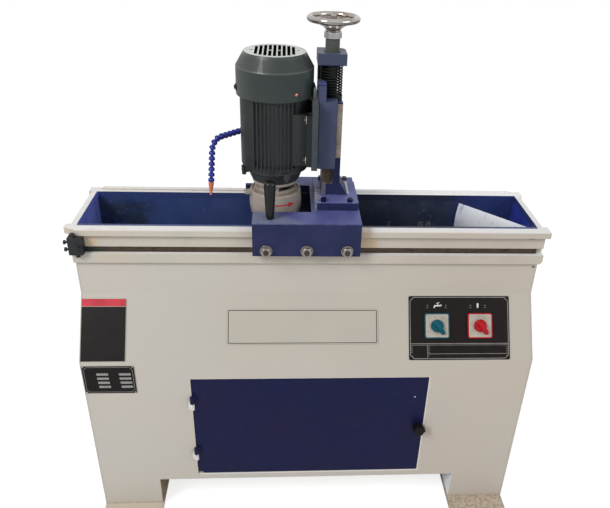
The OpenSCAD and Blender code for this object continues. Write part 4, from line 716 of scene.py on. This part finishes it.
def cut_corners(w, h, cut):
    """Corners of a rectangle of half sizes w and h with its corners cut off."""
    return [(cut - w, -h), (w - cut, -h), (w, cut - h), (w, h - cut),
            (w - cut, h), (cut - w, h), (-w, h - cut), (-w, cut - h)]


def spoke(degrees, inner, outer, width):
    """Short line pointing away from the centre."""
    a = math.radians(degrees)
    return line(inner * math.cos(a), inner * math.sin(a), outer * math.cos(a), outer * math.sin(a), width)


def rounded(w, h, r, x=0.0, y=0.0, steps=6):
    """Rectangle with rounded corners."""
    points = []
    for side_x, side_y, start in ((1, 1, 0), (-1, 1, 90), (-1, -1, 180), (1, -1, 270)):
        centre_x, centre_y = x + side_x * (w / 2 - r), y + side_y * (h / 2 - r)
        for i in range(steps + 1):
            a = math.radians(start + 90 * i / steps)
            points.append((centre_x + r * math.cos(a), centre_y + r * math.sin(a)))
    return points


def border(w, h, r, inner_w, inner_h, inner_r):
    """Ring between two rounded rectangles, as four-sided outlines."""
    a, b = rounded(w, h, r), rounded(inner_w, inner_h, inner_r)
    return [[a[k - 1], a[k], b[k], b[k - 1]] for k in [*range(1, len(a)), 0]]


# ---------------------------------------------------------------- building pieces
def finish_piece(name, bm, body, look, smooth=False):
    """Turn a bmesh into a dressed piece of a body; body None is left to the caller."""
    mesh = bpy.data.meshes.new(name)
    bmesh.ops.recalc_face_normals(bm, faces=bm.faces)
    bm.to_mesh(mesh)
    bm.free()
    mesh.materials.append(LOOKS[look])
    if smooth:
        mesh.shade_smooth()
    piece = bpy.data.objects.new(name, mesh)
    bpy.context.scene.collection.objects.link(piece)
    if body:
        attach(piece, body)
    return piece


def plates(name, shapes, at, height, body, look, bevel=0.0):
    """Flat outlines raised by a height, with bevelled upper edges where asked."""
    bm = bmesh.new()
    for shape in shapes:
        low = [bm.verts.new(at @ mm(x, y, 0)) for x, y in shape]
        top = [bm.verts.new(at @ mm(x, y, height)) for x, y in shape]
        bm.faces.new(low[::-1])
        cap = bm.faces.new(top)
        for i in range(len(shape)):
            j = (i + 1) % len(shape)
            bm.faces.new((low[i], low[j], top[j], top[i]))
        if bevel:
            rim = list(cap.edges)
            bmesh.ops.bevel(bm, geom=rim, offset=bevel / 1000, segments=2, affect="EDGES", profile=0.5)
    return finish_piece(name, bm, body, look)


def revolve(name, profile, at, body, look, sides, smooth=True):
    """Turned piece from (radius, height) points."""
    bm = bmesh.new()
    rings = [[bm.verts.new(at @ mm(x, y, z)) for x, y in disc(0, 0, r, sides)] for r, z in profile]
    for a, b in zip(rings, rings[1:]):
        for i in range(sides):
            j = (i + 1) % sides
            bm.faces.new((a[i], a[j], b[j], b[i]))
    bm.faces.new(rings[0][::-1])
    bm.faces.new(rings[-1])
    return finish_piece(name, bm, body, look, smooth)


def hex_head(name, at, flats, height, look):
    """Hexagon head on its washer, on the grinding head."""
    corner_r, washer_r, washer_t = flats / 2 / math.cos(math.pi / 6), flats * 0.95, 1.2
    head = disc(0, 0, corner_r, sides=6, turn=0.3)
    plates(name, [head], at, height, "grinding_head", look, bevel=height * 0.18)
    washer = [(flats * 0.5, 0.0), (washer_r, 0.0), (washer_r, washer_t), (flats * 0.5, washer_t + 0.2)]
    revolve(name + "_washer", washer, at, "grinding_head", look, sides=24, smooth=False)


# ---------------------------------------------------------------- print on panel and plates
# heights of printed fields, heads and lines off their plates
FIELD_T, HEAD_T, INK_T = 0.12, 0.14, 0.15


def panel_print():
    """Plain frame, rules and signs of the switch panel, from its centre."""
    at = band((PANEL_LEFT + PANEL_RIGHT) / 2, PANEL_S, PANEL_T)
    w, h = (PANEL_RIGHT - PANEL_LEFT) / 2, PANEL_H / 2
    inset, cut, thick, medium, thin = 3.2, 9, 1.5, 1.1, 0.9
    left, right, low, high = inset - w, w - inset, inset - h, h - inset
    head_y, table_y, foot_y, column_x = -38, -41.5, -62.5, -79
    lines = loop(cut_corners(right, high, cut), thick)
    lines += [line(left, head_y, right, head_y, thick), line(left, table_y, right, table_y, thin),
              line(column_x, table_y, column_x, low, medium), line(column_x, foot_y, right, foot_y, medium)]
    for y in (-46, -50.5, -55, -59.5, -67):
        for x0, x1 in ((left, left + 6), (column_x + 1, column_x + 6), (right - 6, right)):
            lines.append(line(x0, y, x1, y, thin))
    plates("panel_lines", lines, at, INK_T, "frame", "grey_print")

    corner, edge_x, edge_y = 8, w * 0.995, h * 0.99
    for dx, dy in ((-1, -1), (1, -1), (1, 1), (-1, 1)):
        tri = [(dx * edge_x, dy * edge_y), (dx * (w - corner), dy * edge_y), (dx * edge_x, dy * (h - corner))]
        if dx * dy < 0:
            tri.reverse()
        name = "panel_corner_%d%d" % (dx + 1, dy + 1)
        plates(name, [tri], at, HEAD_T, "frame", "dark_print")

    sign_y, tap_x, wheel_x = 54, -54.2, 46
    tap = [rect(-5, -2.2, 9, 1.2), rect(0.6, 1.2, 3, 6), line(-2, 5.4, 6, 7.4, 1.6), disc(9, 0.2, 2.2),
           [(-9, -6), (-6, -6), (-4.4, -1.8), (-5, 1.2), (-7.4, 0.4)]]
    tap = [[(x + tap_x, y + sign_y) for x, y in shape] for shape in tap]
    plates("tap_mark", tap, at, INK_T, "frame", "white_print")
    wheel = rounded(4.6, 12, 2.2, wheel_x, sign_y)
    plates("wheel_mark", [wheel], at, INK_T, "frame", "white_print")
    marks = []
    for x in (-78, -33, 28, 64):
        marks += [disc(x, sign_y, 1.3), rect(x - 3, 48.2, x + 3, 49)]
    plates("state_marks", marks, at, INK_T, "frame", "grey_print")


def switch_print(name, x, edge):
    """Coloured edge and tick marks of a switch plate."""
    size, inner_size = 60.6, 55.2
    inner_r, outer_r = 19.5, 23.5
    rim = border(size, size, 5.2, inner_size, inner_size, 3.6)
    at = band(x, SWITCH_S, PANEL_T)
    plates(name + "_plate_edge", rim, at, SWITCH_T + INK_T, "frame", edge)
    at = band(x, SWITCH_S, PANEL_T + SWITCH_T)
    ticks = [spoke(a, inner_r, outer_r, 0.8) for a in (100, 55)]
    plates(name + "_ticks", ticks, at, FIELD_T, "frame", "dark_print")
    red = [spoke(68.755, inner_r, outer_r, 0.9), line(-24, -12.5, -20, -12.5, 0.9)]
    plates(name + "_tick_red", red, at, FIELD_T, "frame", "red_print")


def centre_plate_print():
    """Line round the centre plate."""
    w, h, r, t = 355, 79, 2.5, 1.5
    at = band(CENTRE_PLATE_X, CENTRE_PLATE_S, PLATE_FACE)
    shapes = border(w, h, r, w - 2 * t, h - 2 * t, r - t)
    plates("centre_plate_border", shapes, at, FIELD_T, "frame", "dark_print")


def left_plate_print():
    """Dark field under a red head."""
    at = band(LEFT_PLATE_X, LEFT_PLATE_S, PLATE_FACE)
    w, h, field_top, head_low = 50.8, 72.8, 54.5, 55.5
    field = rect(-w, -h, w, field_top)
    plates("left_plate_field", [field], at, FIELD_T, "frame", "dark_print")
    plates("left_plate_head", [rect(-w, head_low, w, h)], at, HEAD_T, "frame", "red_print")


def data_plate_print():
    """Black plate with a cut-cornered line, two columns of bare fields and four rivets."""
    at = front(DATA_PLATE_X, DATA_PLATE_Y, DATA_PLATE_Z)
    plates("data_plate_field", [rounded(120.4, 81.4, 2.8)], at, HEAD_T, "frame", "dark_print")
    column_step, row_step, field_w, field_low, field_top = 52, 12.5, 27, 13, 19.5
    fields = []
    for column in (0, 1):
        for row, x in enumerate((-28, -28, -27, -26)):
            left, fall = x + column * column_step, row * row_step
            fields.append(rect(left, field_low - fall, left + field_w, field_top - fall))
    plates("data_plate_fields", fields, at, 0.3, "frame", "alu")
    edge = loop(cut_corners(56, 37, 7), 0.9)
    plates("data_plate_border", edge, at, 0.25, "frame", "alu")
    rivet = [(2.2, 0), (2.1, 0.6), (1.4, 1.2), (0.2, 1.4)]
    for i, (dx, dz) in enumerate(((-57, -38), (57, -38), (57, 38), (-57, 38))):
        at = front(DATA_PLATE_X + dx, DATA_PLATE_Y, DATA_PLATE_Z + dz)
        revolve("plate_rivet_%d" % i, rivet, at, "frame", "alu", sides=16)


def scale_marks():
    """A graduation every 2 mm on the column's scale, every fifth one longer."""
    step, half, outer_x, long_x, short_x = 2, 0.25, -5.5, -1.0, -3.0
    count = round((SCALE_HIGH - SCALE_LOW) / step) - 1
    marks = []
    for k in range(count):
        z = SCALE_LOW + (k + 1) * step
        marks.append(rect(outer_x, z - half, long_x if k % 5 == 0 else short_x, z + half))
    at = front(SCALE_X, SCALE_FACE_Y, 0)
    plates("scale_marks", marks, at, 0.1, "carriage", "dark_print")


# ---------------------------------------------------------------- small hardware
def cowl_screws():
    """Three black hexagon screws and a copper rivet round the cowl."""
    radius, z, rivet_degrees = 84.3, COWL_LOW + 15, 303
    for i, degrees in enumerate((10, 100, 190, rivet_degrees)):
        a = math.radians(degrees)
        side = (-math.sin(a), math.cos(a), 0)
        at = place(side, UP, (MOTOR_X + math.cos(a) * radius, MOTOR_Y + math.sin(a) * radius, z))
        name = "cowl_screw_%d" % i
        if degrees == rivet_degrees:
            rivet = [(3.9, 0), (3.8, 1.2), (2.6, 2.2), (0.3, 2.6)]
            revolve(name, rivet, at, "grinding_head", "copper", sides=20)
        else:
            hex_head(name, at, flats=9, height=4.5, look="black")


def turn_arrow():
    """Turning-direction arrow bent round the tapering guard, from (arc length, half width) rows."""
    z, start, bend_r, guard_r, taper = 827, math.radians(-92), 61, 60.65, 0.087
    shaft = [(0, 1.6), (6, 1.8), (12, 1.6), (18, 1.7), (24, 1.8), (30, 1.9), (34, 2.0)]
    rows = shaft + [(34.01, 6.0), (40, 4.3), (46, 2.5), (53, 0.2)]
    bm = bmesh.new()
    for (u0, h0), (u1, h1) in zip(rows, rows[1:]):
        box = []
        for lift in (0.1, -0.3):
            for u, v in ((u0, -h0), (u1, -h1), (u1, h1), (u0, h0)):
                a = start + u / bend_r
                r = guard_r - v * taper + lift
                point = mm(MOTOR_X + r * math.cos(a), MOTOR_Y + r * math.sin(a), z + v)
                box.append(bm.verts.new(point))
        for quad in ((0, 1, 2, 3), (7, 6, 5, 4), (0, 4, 5, 1), (1, 5, 6, 2), (2, 6, 7, 3), (3, 7, 4, 0)):
            bm.faces.new([box[k] for k in quad])
    finish_piece("turn_arrow", bm, "grinding_head", "red_print")


def foot_bolts():
    """Four bolts that hold the motor's feet to its plate."""
    x, spread, low_z, high_z = -19.1, 62.5, 941, 1031
    for i, (side, z) in enumerate(((-1, low_z), (-1, high_z), (1, low_z), (1, high_z))):
        at = place(FRONT, UP, (x, MOTOR_Y + side * spread, z))
        hex_head("foot_bolt_%d" % i, at, flats=13, height=6, look="bright")


def hinge_welds():
    """Weld beads beside the two hinges, on the frame's half and on the door's."""
    beads, pitch, first, door_rise, y, radius, wobble = 8, 2.1, 2, 19, -161.4, 1.7, 0.3
    sides = ((-299.5, "frame", "weld", "cabinet_paint"), (-276.5, "door", "navy", "door_paint"))
    for k, hinge_z in enumerate((HINGE_LOW, HINGE_LOW + HINGE_PITCH)):
        for half, (x, body, look, slot) in enumerate(sides):
            bm = bmesh.new()
            for i in range(beads):
                z = hinge_z + door_rise * half + first + i * pitch
                bead = bmesh.ops.create_uvsphere(bm, u_segments=8, v_segments=6, radius=radius / 1000)
                bmesh.ops.scale(bm, verts=bead["verts"], vec=(1, 0.7, 0.8))
                where = mm(x + random.uniform(-wobble, wobble), y, z)
                bmesh.ops.translate(bm, verts=bead["verts"], vec=where)
            finish_piece("hinge_weld_%d_%d" % (k, half), bm, body, look, True)


def spring_coil():
    """Lift spring: a coil between the top block and the slide."""
    turns, steps, sides, wire_r, coil_r = 11, 24, 10, 1.9, 23.1
    rise = (SPRING_HIGH - SPRING_LOW - 2 * wire_r) / turns / steps
    bm = bmesh.new()
    rings = []
    for i in range(turns * steps + 1):
        a = 2 * math.pi * i / steps
        z = SPRING_LOW + wire_r + rise * i
        ring = []
        for dr, dz in disc(0, 0, wire_r, sides):
            r = coil_r + dr
            ring.append(bm.verts.new(mm(LIFT_X + r * math.cos(a), LIFT_Y + r * math.sin(a), z + dz)))
        rings.append(ring)
    for one, two in zip(rings, rings[1:]):
        for k in range(sides):
            j = (k + 1) % sides
            bm.faces.new((one[k], two[k], two[j], one[j]))
    bm.faces.new(rings[0])
    bm.faces.new(rings[-1][::-1])
    spring = finish_piece("spring_coil", bm, None, "wire", True)
    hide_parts("lift_spring")
    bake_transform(spring)


def grit():
    """Grains left on the left edge of the column's foot by grinding."""
    grains, left, right, face_z = 160, 4.5, 19.5, 838.1
    bm = bmesh.new()
    for _ in range(grains):
        x, y = random.gauss(10.5, 4.5), random.uniform(-26, 50)
        if not left < x < right:
            continue
        radius = random.uniform(0.4, 1.1)
        grain = bmesh.ops.create_icosphere(bm, subdivisions=1, radius=radius / 1000)
        stretch = (random.uniform(0.7, 1.6), random.uniform(0.7, 1.6), 0.5)
        bmesh.ops.scale(bm, verts=grain["verts"], vec=stretch)
        bmesh.ops.translate(bm, verts=grain["verts"], vec=mm(x, y, face_z + radius * 0.3))
    finish_piece("grit", bm, "carriage", "bright")


# ---------------------------------------------------------------- stage and light
def add_floor():
    """White floor: it glows for the camera and only scatters light for the part."""
    size_m = 60
    bm = bmesh.new()
    bmesh.ops.create_grid(bm, x_segments=1, y_segments=1, size=size_m)
    mesh = bpy.data.meshes.new("floor")
    bm.to_mesh(mesh)
    bm.free()
    floor = bpy.data.objects.new("floor", mesh)
    bpy.context.scene.collection.objects.link(floor)
    material = bpy.data.materials.new("floor")
    t = Nodes(material)
    glow = t.new("Emission", (1, 1, 1), 0.74).outputs[0]
    seen = t.new("AddShader", glow, t.new("BsdfDiffuse", (0.42, 0.42, 0.42)).outputs[0]).outputs[0]
    lit = t.new("BsdfDiffuse", (0.72, 0.72, 0.72)).outputs[0]
    look = t.new("MixShader", t.new("LightPath").outputs["Is Camera Ray"], lit, seen)
    t.new("OutputMaterial", look.outputs[0])
    mesh.materials.append(material)


def add_world():
    """Soft grey sky that lights the part; cameras, mirrors and glass see plain white."""
    world = bpy.data.worlds.new("world")
    bpy.context.scene.world = world
    t = Nodes(world)
    plain = t.new("Background", (1, 1, 1), 1.0).outputs[0]
    height = t.new("SeparateXYZ", t.new("TexCoord").outputs["Generated"]).outputs[2]
    shade = t.ramp(height, (0.0, (0.40, 0.40, 0.41)), (0.75, (0.95, 0.96, 0.98)))
    sky = t.new("Background", shade, 0.72).outputs[0]
    path = t.new("LightPath").outputs
    direct = t.either(path["Is Camera Ray"], path["Is Glossy Ray"], path["Is Transmission Ray"])
    look = t.new("MixShader", direct, sky, plain)
    t.new("OutputWorld", look.outputs[0])


def lamp(name, at, aim, watts, size, tint):
    """Square lamp; places and size in metres."""
    light = bpy.data.lights.new(name, "AREA")
    light.energy = watts
    light.size = size
    light.color = tint
    holder = bpy.data.objects.new(name, light)
    bpy.context.scene.collection.objects.link(holder)
    holder.location = at
    holder.rotation_euler = (Vector(aim) - Vector(at)).to_track_quat("-Z", "Y").to_euler()


# ---------------------------------------------------------------- assembly
add_camera()
bpy.context.scene.view_settings.view_transform = "Standard"
panel_print()
switch_print("pump", PUMP_SWITCH_X, "teal")
switch_print("motor", MOTOR_SWITCH_X, "red")
centre_plate_print()
left_plate_print()
data_plate_print()
scale_marks()
cowl_screws()
turn_arrow()
foot_bolts()
hinge_welds()
spring_coil()
grit()
add_floor()
add_world()
lamp("key", (-2.2, -2.0, 3.0), aim=(0, 0, 0.7), watts=75, size=1.2, tint=(1.0, 0.985, 0.96))
lamp("fill", (2.4, -1.6, 2.2), aim=(0.1, 0, 0.6), watts=22, size=1.6, tint=(0.96, 0.98, 1.0))
